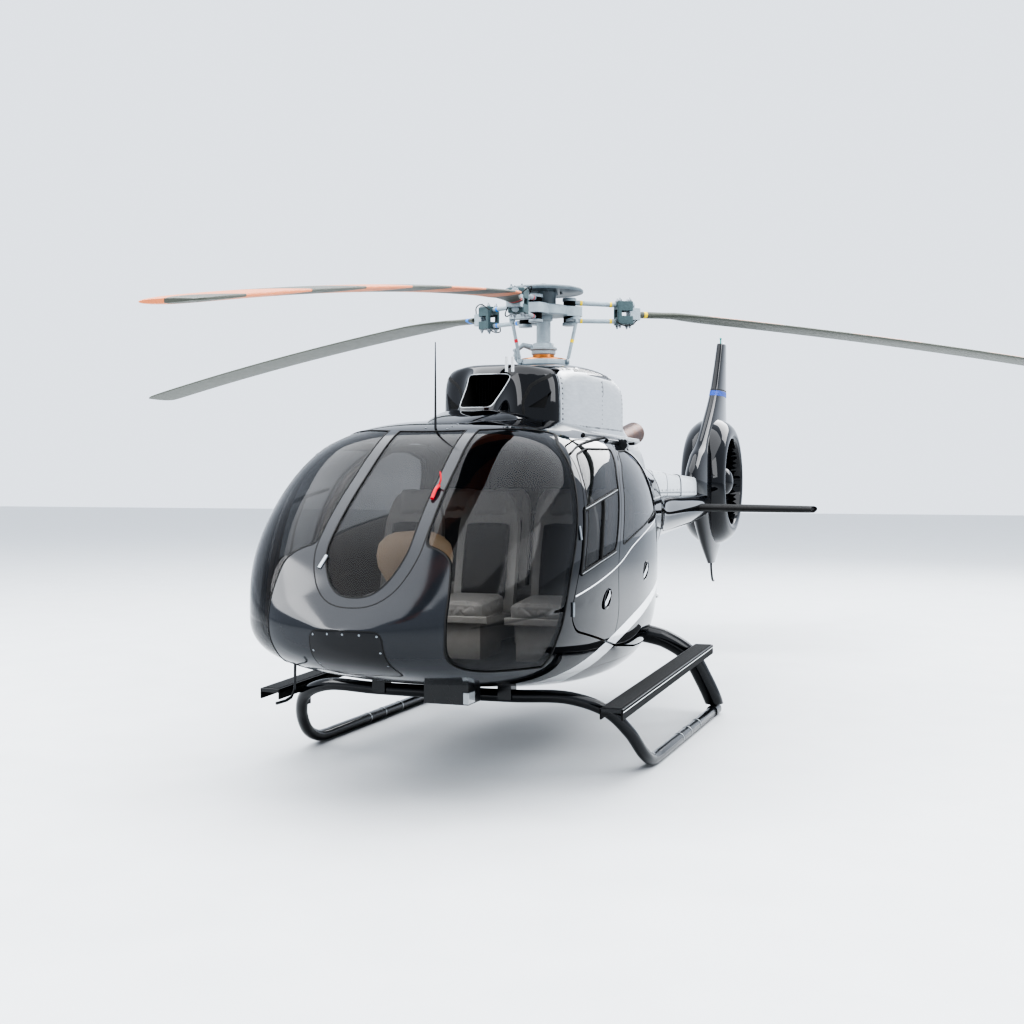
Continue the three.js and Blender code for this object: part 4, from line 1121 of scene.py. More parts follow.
def cowl_side(table, outline, sign):
    return on_cowl(table, [[sign * 900, y, z] for y, z in outline], (-sign, 0, 0))


# Joints, rivet rows and vent of the gearbox cowl, columns: y, z
COWL_SEAM = [[-1105, 2300], [-1108, 2385], [-1090, 2448], [-1070, 2500], [-1035, 2540], [-968, 2580]]
VENT = [[-1085, 2352], [-1015, 2347], [-990, 2465]]
RIVET_ROWS = [
    [[-890, 2560], [-890, 2240]], [[35, 2590], [35, 2240]], [[-890, 2240], [35, 2240]],
    [[660, 2560], [660, 2250]],
    [[35, 2240], [660, 2240]],
]
PANEL_LINES = [[[-925, 2610], [-925, 2225]], [[60, 2640], [60, 2235]]]
# Ramp ahead of the intake, columns: y, half width, base z, top z, power
RAMP = [
    [-2060, 165, 2100, 2172, 3], [-1960, 185, 2100, 2218, 3.5], [-1800, 225, 2100, 2262, 4],
    [-1600, 285, 2100, 2300, 4],
    [-1440, 330, 2100, 2322, 4], [-1200, 400, 2100, 2300, 3.5], [-900, 440, 2100, 2262, 3],
]
SCREEN = {"pitch": 22, "wire": 2.2, "y": -1080}
# Screws in the roof ahead of the cowl, columns: x, y
ROOF_SCREWS = [[-70, -2109], [-100, -1960], [-129, -1797], [88, -2138], [96, -2074], [104, -2010]]
# Drain stubs on top of the cowl, columns: x, y
DRAINS = [[128, -1180], [169, -1170]]


class HELI_OT_cowls(bpy.types.Operator):
    """Builds the cowls, the air intake, the mast housing and the exhaust"""
    bl_idname = "heli.cowls"
    bl_label = "Cowls"

    def execute(self, context):
        vents = [prism("x", VENT, 0, 600, None, sign) for sign in SIDES.values()]
        depth = cowl(GEARBOX_COWL, 22)
        vents = [less(vent, depth) for vent in vents]
        body = less(cowl(GEARBOX_COWL, 0, 10, 96), hull(-0.3),
                   prism("y", rounded(INTAKE, 35), -1700, -850), *vents,
                   turned([[0, 2600], [235.3, 2600], [235.3, 2900], [0, 2900]], 64))
        front = block((-900, 900), (-1700, -935), (1900, 2900))
        top = block((-600, 600), (-934, 900), (2622, 2900))
        fairing = kept(body, merged(front, top))
        bevelled(fixed("cowl_fairing", fairing, "paint", body_enamel(), "gearbox_cowl"), 3)
        panels = less(body, block((-900, 900), (-1700, -933), (1900, 2900)),
                      block((-406, 406), (-934, 900), (2584, 2900)))
        fixed("cowl_side_panels", panels, "cowl_metal", rolled_aluminium())
        self.intake()
        self.trim()
        ramp = less(cowl(RAMP, 0, 6, 48), hull(-0.3), cowl(GEARBOX_COWL, -0.3))
        fixed("intake_ramp", ramp, "paint", body_enamel())
        hollow = less(cowl(ENGINE_COWL, 26), block((-600, 600), (2330, 2600), (1500, 2700)))
        engine = less(cowl(ENGINE_COWL), hull(-0.3), hollow,
                      exhaust_rod(EXHAUST["radius"] + 0.3, -700, 700))
        fixed("engine_cowl_fine", engine, "cowl_metal", rolled_aluminium(), "engine_cowl")
        fixed("mast_housing_fine", turned(MAST_HOUSING, 72), "hub_metal", hub_paint(), "mast_housing")
        bolts = [(218 * math.cos(a), 218 * math.sin(a), 2704) for a in around(24)]
        fixed("mast_housing_bolts", screws(bolts, (0.0, 0.0, 1.0), 7, 8, 6), "hub_metal", steel())
        bore = exhaust_rod(EXHAUST["radius"] - EXHAUST["wall"], EXHAUST["floor"], 100)
        fixed("exhaust_pipe_fine", less(exhaust_rod(EXHAUST["radius"]), bore), "dark_metal", heated_steel(),
              "exhaust_pipe")
        spots, out = on_roof(ROOF_SCREWS)
        fixed("roof_screws", screws(spots + out, out, 7, 2.5), "cowl_metal", steel())
        return {"FINISHED"}

    def intake(self):
        """The bright lip, a matt black lining of painted shade inside the duct, and the wire screen of the
        air intake.
        """
        rim = spaced(rounded(INTAKE, 35), 14, closed=True)
        spots = on_cowl(GEARBOX_COWL, [[x, -1700, z] for x, z in rim], (0, 1, 0))[0]
        fixed("intake_lip", pipe(spots + (0, 1, 0), 5, 10, closed=True), "cowl_metal", satin_aluminium())
        wall = grown(rounded(INTAKE, 35), -1)
        # A matt black lining inside the duct: painted shade for the dark inside of the intake.
        duct_shade = less(prism("y", wall, -1440, -850.5), prism("y", grown(wall, -3), -1500, -856))
        duct_shade = kept(duct_shade, cowl(GEARBOX_COWL, 3, 10, 96))
        fixed("intake_duct_shade", duct_shade, "dark_metal", matt_black_and_painted_shade())
        wires = []
        for x in np.arange(-154, 155, SCREEN["pitch"]):
            wires.append(rod((x, SCREEN["y"], 2330), (x, SCREEN["y"], 2580), SCREEN["wire"], 6))
        for z in np.arange(2345, 2575, SCREEN["pitch"]):
            wires.append(rod((-160, SCREEN["y"], z), (160, SCREEN["y"], z), SCREEN["wire"], 6))
        fixed("intake_screen", joined(*wires), "dark_metal", black_metal())

    def trim(self):
        """Rubber joint, matt black vent fills of painted shade, panel lines and rivets on both sides of the
        gearbox cowl.
        """
        rivets = []
        for name, sign in SIDES.items():
            seam = cowl_side(GEARBOX_COWL, smooth_path(COWL_SEAM, 6), sign)
            fixed(f"cowl_seam_{name}", ribbon(*seam, 26, 1.8, 3), "trim", rubber_seal())
            # A matt black fill sunk in each vent: painted shade for its dark inside, not a real screen.
            screen = kept(prism("x", grown(VENT, -0.3), 0, 600, None, sign), cowl(GEARBOX_COWL, 16))
            fixed(f"cowl_vent_shade_{name}", screen, "dark_metal", matt_black_and_painted_shade())
            lines = [ribbon(*cowl_side(GEARBOX_COWL, spaced(line, 40), sign), 9, 1.2, 3)
                     for line in PANEL_LINES]
            fixed(f"cowl_panel_lines_{name}", joined(*lines), "trim", rubber_seal())
            rivets += [screws(*cowl_side(GEARBOX_COWL, spaced(row, 34), sign), 7, 2.4, 10)
                       for row in RIVET_ROWS]
        fixed("cowl_rivets", joined(*rivets), "cowl_metal", black_metal())
        drains = [rod((x, y, 2590), (x, y, 2694), 11, 20) for x, y in DRAINS]
        fixed("cowl_drains", joined(*drains), "trim", lamp_glass("drain", "#d4d8da"))


@functools.cache
def matt_black_and_painted_shade():
    """Matt black paint, sprayed: black on the stabilizers and step walls, painted shade in ducts, vents and
    handle bowls.
    """
    return surface("matt_black_paint_and_painted_shade", ("#060606", "#101010"), (0.7, 0.85), 5, 0.02, IOR=1.5)


@functools.cache
def heated_steel():
    """Heat-stained stainless steel, rolled: straw, bronze and blue bands where it runs hot."""
    return surface("heat_stained_steel", ("#211a2b", "#6b4526"), (0.32, 0.45), 90, 0.02,
                   Metallic=1.0)


# Tail, boom columns: y, half width, bottom z, top z
BOOM = [
    [2500.3, 325, 1085, 1988], [2750, 290, 1195, 1840], [3050, 262, 1262, 1715],
    [3800, 240, 1300, 1700], [4750, 208, 1345, 1690], [5350, 175, 1390, 1690], [5760, 135, 1430, 1690],
]
BOOM_END = 5150
BOOM_WALL = 20
FAN = {"y": 6520, "z": 1820, "duct": 508}
# Fin, columns: z, leading edge y, trailing edge y, half thickness
FIN = [
    [830, 6300, 6640, 35], [1100, 5930, 6950, 90], [1450, 5560, 7160, 140], [1820, 5200, 7230, 155],
    [2100, 5420, 7240, 145], [2304, 5774, 7240, 120], [2810, 6400, 7245, 85], [3200, 6690, 7260, 66],
    [3490, 6860, 7270, 54], [3532, 6885, 7268, 50],
]
# Half of the duct's ring, columns: radius, x. The whole ring closes on itself
HALF_RING = [
    [508, 215], [522, 246], [548, 261], [575, 264], [615, 258], [655, 240], [700, 196], [740, 138], [764, 72],
]
DUCT_RING = [*[[r, -x] for r, x in HALF_RING], [773, 0], *HALF_RING[::-1], [508, -215]]
# Share of the ring's radius that keeps its rounded outside within the duct's faceted one
RING_SCALE = 0.996
# Stabilizer, columns: distance out, leading edge y, trailing edge y, z, half thickness
STABILIZER = [[150, 4740, 5300, 1535, 48], [600, 4790, 5340, 1530, 46], [1330, 4900, 5440, 1520, 41],
              [1353, 4920, 5436, 1520, 34], [1365, 4950, 5430, 1520, 24]]
# Cover of the tail drive shaft, columns: y, half width, base z, top z, power
SHAFT_COVER = [
    [2500.3, 125, 1600, 1972, 6], [3050, 120, 1600, 1945, 6], [4000, 110, 1600, 1908, 6],
    [5000, 98, 1600, 1872, 6], [5150, 95, 1600, 1868, 6],
]


def boom_body(shrink=0, start=None):
    rows = rows_of(BOOM, 41)
    if start is not None:
        rows[0][0] = start
    table = [[y, half - shrink, low + shrink, high - shrink, (low + high) / 2, 2.4, 2.4]
             for y, half, low, high in rows]
    return lofted(section_points(table, around(72)))


def foil(at, lead, trail, thick, sides=40):
    """A ring of an aerofoil section, placed by at(along the chord, across it)."""
    ring = []
    for angle in around(sides):
        share = (1 - math.cos(angle)) / 2
        bulge = math.sqrt(share) * (1.15 - share) * 1.75
        depth = np.sign(round(math.sin(angle), 9)) * bulge + 0.08 * math.sin(angle)
        ring.append(at(lead + (trail - lead) * share, thick * depth))
    return ring


def fin_body(rows, proud=0):
    """The fin through rows of its table, its skin moved out by a distance."""
    return lofted([foil(lambda y, x, z=z: (x, y, z), lead - proud, trail + proud, thick + proud)
                   for z, lead, trail, thick in rows])


def cover_surface(inset=0):
    return cowl(SHAFT_COVER, inset, 8, 48)


def turned_fan(profile, sides):
    return turned(profile, sides, (0, FAN["y"], FAN["z"]), AXES["x"])


# Bands of the fin: name, span of z, how far each stands proud, finish
FIN_BANDS = (("fin_band", (2862, 2935), 1.2, lambda: plain_paint("blue", "#003c94", 0.4)),
             ("fin_band_edge", (2935, 2956), 1.0, rubber_seal),
             ("fin_tip_joint", (3300, 3306), 0.8, rubber_seal))
# Aerial and lamp on top of the fin, columns: y, top z
FIN_FITTINGS = [[6985, 3611], [7190, 3575]]
# Cover of the drive shaft: its bands (y from, y to, proud) and its row of vents (first y, last y, pitch, z)
COVER_BANDS = [[2503, 2540, 5], [3040, 3052, 1.2], [3640, 3652, 1.2], [4290, 4302, 6], [5120, 5148, 7]]
COVER_VENTS = (2900, 4240, 58, 1738)
# Paths of the tail guard and of the lamp in a stabilizer's tip, columns: x, y, z
TAIL_GUARD = [[0, 6440, 829], [0, 6440, 780], [0, 6470, 700], [0, 6530, 615], [0, 6600, 600]]
TIP_LAMP = [[1352, 4960, 1520], [1356, 5000, 1520], [1356, 5070, 1520], [1352, 5110, 1520]]


class HELI_OT_tail(bpy.types.Operator):
    """Builds the tail boom, fin, fan duct, stabilizer and tail guard"""
    bl_idname = "heli.tail"
    bl_label = "Tail"

    def execute(self, context):
        boom = boom_body()
        tube = less(kept(boom, block((-800, 800), (2450, BOOM_END), (500, 2500))), boom_body(BOOM_WALL, 2400))
        fixed("tail_boom_fine", tube, "paint", body_enamel(), "tail_boom")
        self.shaft_cover()
        blade = fin_body(rows_of(FIN, 55))
        stub = kept(boom, block((-800, 800), (BOOM_END + 2, 6000), (500, 2500)))
        bore = turned_fan([[0, -400], [FAN["duct"], -400], [FAN["duct"], 400], [0, 400]], 96)
        fin = less(merged(stub, blade, turned_fan([[r * RING_SCALE, x] for r, x in DUCT_RING], 96)), bore)
        fixed("tail_fin_fine", fin, "fin_paint", body_enamel(), "tail_fin")
        for label, (low, high), proud, material in FIN_BANDS:
            band_rows = [row for row in rows_of(FIN, 600) if low <= row[0] <= high]
            fixed(label, fin_body(band_rows[::2], proud), "fin_paint", material())
        mast, lamp = FIN_FITTINGS
        fixed("fin_aerial", joined(rod((0, mast[0], 3520), (0, mast[0], mast[1] - 2), 8, 14),
                                   turned([[0, 3590], [13, 3592], [13, 3606], [9, 3611], [0, 3611]], 20,
                                          (0, mast[0], 0))),
              "trim", plain_paint("green", "#2f7f78"))
        fixed("fin_lamp", turned([[0, 3520], [17, 3520], [17, 3548], [12, 3566], [0, lamp[1]]], 24,
                                 (0, lamp[0], 0)),
              "trim", lamp_glass("clear", "#dfe6ea"))
        for name, sign in SIDES.items():
            wing = lofted([foil(lambda y, up, x=x, z=z: (sign * x, y, z + up), lead, trail, thick)
                           for x, lead, trail, z, thick in rows_of(STABILIZER, 13)])
            fixed(f"stabilizer_{name}_fine", less(wing, boom_body(-0.3)), "trim",
                  matt_black_and_painted_shade(), f"stabilizer_{name}")
            tip = pipe([(sign * x, y, z) for x, y, z in TIP_LAMP], [10, 22, 22, 10], 20)
            fixed(f"stabilizer_lamp_{name}", kept(tip, block((-1365, 1365), (4900, 5200), (1400, 1600))),
                  "trim", lamp_glass("tip", "#e8ecee"))
        fixed("tail_guard_fine", pipe(smooth_path(TAIL_GUARD, 8), 13, 16), "dark_metal", black_metal(),
              "tail_guard")
        joint = kept(hull(-2), block((-900, 900), (2470, 2499), (500, 2500)))
        fixed("boom_joint", less(joint, hull(4)), "trim", rubber_seal())
        return {"FINISHED"}

    def shaft_cover(self):
        """The drive shaft's cover and bands, vents as matt black discs of painted shade, and its bright foot
        strip.
        """
        clear = boom_body(-0.3)
        blade = fin_body(rows_of(FIN, 55))
        cover = less(cover_surface(), clear, blade)
        fixed("shaft_cover_fine", cover, "paint", pale_enamel(), "shaft_cover")
        bands = []
        for start, end, proud in COVER_BANDS:
            band = kept(cover_surface(-proud), block((-300, 300), (start, end), (1500, 2100)))
            bands.append(less(band, clear, blade))
        fixed("cover_bands", joined(*bands), "trim", rubber_seal())
        collar = kept(cover_surface(-5), block((-300, 300), (4302, 5120), (1500, 2100)))
        fixed("cover_collar", less(collar, clear, blade), "paint", pale_enamel())
        vents, feet = [], []
        first, last, pitch, z = COVER_VENTS
        for sign in SIDES.values():
            row = [[y, z] for y in np.arange(first, last, pitch)]
            # Each vent is a low matt black disc: painted shade for its hole.
            vents.append(screws(*cowl_side(SHAFT_COVER, row, sign), 11, 1.2, 14))
            foot = [[y, 1724 - (y - 2900) * 0.009] for y in np.linspace(2960, 5090, 40)]
            feet.append(ribbon(*cowl_side(SHAFT_COVER, foot, sign), 18, 6, 3))
        fixed("cover_vent_shades", joined(*vents), "dark_metal", matt_black_and_painted_shade())
        fixed("cover_feet", joined(*feet), "cowl_metal", satin_aluminium())


# Blades and fixed vanes of the tail fan: how many, from and to which radius, width, thickness, place along x,
# twist at mid-span in radians, how much it falls from root to tip, and the angle of the first
FAN_BLADE = {"count": 10, "from": 90, "to": 495, "width": 92, "thickness": 11, "x": 55, "twist": 0.6,
             "fall": 0.35, "first": 0}
VANE = {"count": 9, "from": 95, "to": 505, "width": 70, "thickness": 12, "x": -75, "twist": -0.3,
        "fall": 0.0, "first": 0.2}
# Hub, cap and gearbox pod of the fan, columns: radius, x
FAN_HUB = [
    [0, -34.7], [60, -34.7], [60, -28], [112, -28], [118, 20], [116, 60], [95, 120], [66, 142], [40, 150],
    [0, 155],
]
FAN_CAP = [[0, 60], [184, 60], [190, 70], [188, 105], [176, 150], [146, 198], [98, 231], [48, 246], [0, 250]]
FAN_POD = [[0, -230], [35, -226], [60, -215], [84, -190], [100, -150], [105, -90], [105, -35], [0, -35]]


def fan_blades(shape):
    """Thin aerofoils round the fan's axis, twisted less towards their tips."""
    blades = []
    for i in range(shape["count"]):
        turn = shape["first"] + 2 * math.pi * i / shape["count"]
        rings = []
        for share in np.linspace(0, 1, 7):
            radius = shape["from"] + (shape["to"] - shape["from"]) * share
            twist = shape["twist"] + shape["fall"] * (0.5 - share)
            half = shape["width"] / 2
            placed = []
            for u, v in foil(lambda u, v: (u, v), -half, half, shape["thickness"] / 2, 16):
                across = v * math.cos(twist) - u * math.sin(twist)
                along = v * math.sin(twist) + u * math.cos(twist)
                y = along * math.cos(turn) - radius * math.sin(turn)
                z = along * math.sin(turn) + radius * math.cos(turn)
                placed.append((shape["x"] + across, FAN["y"] + y, FAN["z"] + z))
            rings.append(placed)
        blades.append(lofted(rings))
    return joined(*blades)


class HELI_OT_fan(bpy.types.Operator):
    """Builds the tail fan, its hub, the fixed vanes and the gearbox pod"""
    bl_idname = "heli.fan"
    bl_label = "Tail Fan"

    def execute(self, context):
        rotor = joined(fan_blades(FAN_BLADE), turned_fan(FAN_HUB, 48))
        piece("tail_fan_rotor_fine", rotor, "tail_fan", "fan_blade", black_metal(), "tail_fan_rotor")
        piece("fan_hub_cap", turned_fan(FAN_CAP, 72), "tail_fan", "fan_blade", body_enamel())
        stator = joined(fan_blades(VANE), turned_fan(FAN_POD, 48))
        fixed("fan_stator_fine", stator, "hub_metal", hub_paint(), "fan_stator")
        return {"FINISHED"}


TUBE = {"leg": 36, "skid": 40, "fairing": 70, "half_track": 1205}
SKID_BANDS = (-615, -354, -42)
REAR_TUBE = [
    [-1205, 660, 75], [-1200, 620, 124], [-1142, 550, 287], [-1046, 450, 491], [-895, 350, 612],
    [-800, 300, 650], [-600, 270, 680],
]
FRONT_TUBE = [
    [-1205, -1180, 40], [-1205, -1280, 40], [-1205, -1420, 55], [-1196, -1580, 125],
    [-1148, -1750, 285], [-1040, -1880, 430], [-830, -1970, 512], [-450, -2000, 510],
]
# Step boards: middle x, half width, and the place (y, z) of each end
STEP = {"x": 1150, "half": 72, "front": (-2170, 500), "back": (500, 575)}
# Brackets under each step, columns: x, y, lowest z, highest z
STEP_BRACKETS = [[1092, -1800, 340, 470], [1075, 470, 440, 545]]


def skid_ring(x, start, end, lift, proud):
    """A sleeve round a skid from one station to another, lifted off the ground and proud of the tube."""
    height = TUBE["skid"] + lift
    return rod((x, start, height), (x, end, height), TUBE["skid"] + proud, 32)


def whole_arch(points, steps=10):
    return smooth_path([*points, *[[-x, y, z] for x, y, z in reversed(points)]], steps)


def rear_arch():
    return whole_arch(REAR_TUBE)


@functools.cache
def tube_enamel():
    """Gloss enamel on drawn tube: black, with worn bare metal low on the skids."""
    material = surface("gloss_enamel_tube", ("#0b0d10", "#15181c"), (0.12, 0.22), 40, 0.02,
                       IOR=1.5)
    tree = material.node_tree
    place = add(tree, "TexCoord").outputs["Object"]
    height = add(tree, "SeparateXYZ", {0: place}).outputs["Z"]
    speck = add(tree, "TexNoise", {"Scale": 22.0, "Detail": 6.0, "Vector": place}).outputs["Fac"]
    low = add(tree, "MapRange", {"From Max": 0.055, "To Min": 0.5, "To Max": 0.15, "Value": height})
    limit = add(tree, "Math", {0: 1.05, 1: low}, operation="SUBTRACT")
    worn = add(tree, "Math", {0: speck, 1: limit}, operation="GREATER_THAN")
    tree.links.new(worn.outputs[0], tree.nodes["Principled BSDF"].inputs["Metallic"])
    return painted_over(material, worn, linear("#8d8f8f"))


@functools.cache
def grip_tape():
    """Anti-slip tape: grit bonded to film, black and sparkling a little. Drawn at 3 mm to show."""
    return surface("anti_slip_tape", ("#0d0d0e", "#2a2b2c"), (0.6, 0.95), 3, 1.0, IOR=1.5)


class HELI_OT_gear(bpy.types.Operator):
    """Builds the cross tubes, skids and step boards"""
    bl_idname = "heli.gear"
    bl_label = "Landing Gear"

    def execute(self, context):
        skin = hull(-0.5)
        saddles = [block((x - 45, x + 45), (-2050, -1950), (490, 700)) for x in (430, -430)]
        saddles = [less(saddle, skin) for saddle in saddles]
        front = joined(pipe(whole_arch(FRONT_TUBE), TUBE["skid"], 32), *saddles)
        front = kept(front, block(GEAR_SPAN, (-3000, 900), (0.3, 1500)))
        fixed("cross_tube_front_fine", front, "gear_paint", tube_enamel(), "cross_tube_front")
        fixed("cross_tube_rear_fine", pipe(rear_arch(), TUBE["leg"], 28), "gear_paint", tube_enamel(),
              "cross_tube_rear")
        legs = pipe(rear_arch(), TUBE["fairing"], 36)
        middle = block((-640, 640), (0, 900), (0, 1200))
        fixed("rear_leg_fairings", less(legs, hull(3), middle, block(GEAR_SPAN, (500, 900), (-50, 92))),
              "gear_paint", tube_enamel())
        clamps, bands, tabs = [], [], []
        for x in (TUBE["half_track"], -TUBE["half_track"]):
            clamps.append(kept(skid_ring(x, 545, 705, 2, 5), block(GEAR_SPAN, (-1400, 900), (2, 200))))
            bands += [kept(skid_ring(x, y - 9, y + 9, 1, 1), block(GEAR_SPAN, (-1400, 900), (1, 200)))
                      for y in SKID_BANDS]
            tabs.append(block((x - 4, x + 4), (690, 734), (70, 112)))
        fixed("skid_saddles", joined(*clamps), "gear_paint", black_metal())
        fixed("skid_bands", joined(*bands), "gear_paint", satin_aluminium())
        bevelled(fixed("skid_tabs", joined(*tabs), "gear_paint", black_metal()), 2)
        for name, sign in SIDES.items():
            x = sign * TUBE["half_track"]
            path = [[x, y, TUBE["skid"]] for y in (-1179, 700, 728, 735)]
            tube = pipe(path, [TUBE["skid"], TUBE["skid"], 34, 26], 32)
            fixed(f"skid_{name}_fine", tube, "gear_paint", tube_enamel(), f"skid_{name}")
            (y0, z0), (y1, z1) = STEP["front"], STEP["back"]
            low, high = sorted(sign * (STEP["x"] + side * STEP["half"]) for side in (-1, 1))
            board = prism("x", [[y0, z0 - 30], [y1, z1 - 30], [y1, z1 - 4], [y0, z0 - 4]], low, high)
            brackets = [block((sign * bx - 22, sign * bx + 22), (by - 40, by + 40), (bottom, top))
                        for bx, by, bottom, top in STEP_BRACKETS]
            bevelled(fixed(f"step_{name}_fine", joined(board, *brackets), "step_metal", black_metal(),
                           f"step_{name}"), 4)
            tape = [[y0 + 12, z0 - 3.9], [y1 - 12, z1 - 3.9], [y1 - 12, z1 - 1], [y0 + 12, z0 - 1]]
            fixed(f"step_grip_{name}", prism("x", tape, low + 12, high - 12), "step_metal", grip_tape())
            wall = [[y0, z0 - 72], [y1, z1 - 72], [y1, z1 - 6], [y0, z0 - 6]]
            walls = joined(*[prism("x", wall, x, x + 12) for x in (low, high - 12)])
            bevelled(fixed(f"step_walls_{name}", walls, "step_metal", matt_black_and_painted_shade()), 3)
            edge = [[y0 + 5, z0 - 26], [y1 - 5, z1 - 26], [y1 - 5, z1 - 20], [y0 + 5, z0 - 20]]
            outer = STEP["x"] + STEP["half"]
            fixed(f"step_edge_{name}", prism("x", edge, outer - 1, outer + 1.5, None, sign), "step_metal",
                  plain_paint("white", "#d9dcdd"))
        return {"FINISHED"}


# Main rotor, columns of the blades: name, angle in degrees, tip droop, swing about its root, band colour
BLADES = [["a", 271.85, 570, 0, "red"], ["b", 151.85, 455, 4.7, "blue"], ["c", 31.85, 455, 0, "yellow"]]
BANDS = {"red": "#c8323c", "blue": "#2f7fd6", "yellow": "#e2c41c"}
ROTOR = {"radius": 5345, "root": 760, "bend": 1060, "z": 3135, "quarter": 0.3}
# Columns: distance out, chord, thickness as a share of the chord
BLADE_STATIONS = [
    [745, 110, 0.5], [860, 120, 0.45], [1000, 170, 0.3], [1300, 330, 0.14], [1700, 350, 0.12],
    [2600, 350, 0.12], [3500, 350, 0.12], [4300, 350, 0.12], [5100, 350, 0.12],
    [5300, 320, 0.11], [5345, 250, 0.08],
]
# Slanted stripes: slant, pitch and start in metres, and the least upward facing of what they cover
BLADE_STRIPES = {"slant": 1.4, "pitch": 1.2, "start": 1.25, "both sides": -2.0, "upper side": 0.9}
# Columns: radius, z
CAP = [
    [0, 3179], [95, 3179], [95, 3240], [110, 3283], [288, 3286], [302, 3280], [305, 3286], [304, 3300],
    [292, 3310],
    [200, 3324], [120, 3336], [60, 3340], [0, 3340],
]
# Heights of the star plate and the reach of its arms
HUB = {"star": (3105, 3180), "arm": 300}
# Tubes, bearings, root fitting, cuff and pitch horn of each blade's sleeve
SLEEVE = {
    "inner": 205, "outer": 660, "bearing": 48, "upper": (3215, 3205), "lower": (3075, 3080),
    "radius": (19, 17),
    "fitting": (575, 700, 3055, 3232), "cuff": (3088, 3182), "horn": (3062, 3086),
}
# Turned parts of the rotor head, columns: radius, z
SWASH = [[66, 2722], [190, 2722], [199, 2728], [200, 2748], [196, 2764], [182, 2768], [66, 2768], [66, 2722]]
BRONZE_RING = [[66, 2768], [176, 2768], [174, 2776], [120, 2786], [84, 2788], [84, 2808], [66, 2808],
               [66, 2768]]
COLLAR = [
    [60, 2808], [86, 2808], [92, 2816], [92, 2842], [104, 2846], [104, 2860], [92, 2864], [78, 2896],
    [60, 2900], [60, 2808],
]
MAST = [
    [0, 2690.5], [60, 2690.5], [60, 2900], [54, 2906], [54, 3062], [70, 3074], [70, 3105], [0, 3105],
]
CAP_BUTTON = [[0, 3338], [34, 3338], [34, 3348], [26, 3352], [0, 3352]]
# Parts beside a blade that points along x: foot and head of its pitch link, and its two bonding wires
PITCH_LINK = [(155, -140, 2752), (213, -185, 3058)]
BONDING_WIRES = [[(560, 60, 3200), (620, 96, 3246), (690, 88, 3228), (735, 52, 3184)],
                 [(560, -50, 3080), (610, -92, 3040), (680, -86, 3046), (735, -48, 3092)]]
# Arms of the scissor link, each a path and its radii, and the pin between them, before they turn to their
# place
SCISSORS = [
    ([(-178, 60, 2752), (-206, 66, 2800), (-196, 62, 2850)], [17, 20, 15]),
    ([(-206, 64, 2838), (-150, 46, 2884), (-86, 26, 2866)], [16, 20, 24]),
]
SCISSOR_PIN = [(-206, 38, 2846), (-206, 90, 2846)]
SCISSOR_TURN = 38


def strip(start, end, width, end_width=None):
    end_width = width if end_width is None else end_width
    return [[start, -width / 2], [end, -end_width / 2], [end, end_width / 2], [start, width / 2]]


def ribbed(radius, low, high, count, depth=4):
    """Profile of a stack of rubber and metal rings."""
    rows = [[0, low]]
    for i, z in enumerate(np.linspace(low, high, count * 2 + 1)):
        rows.append([radius if i % 2 == 0 else radius - depth, z])
    return [*rows, [0, high]]


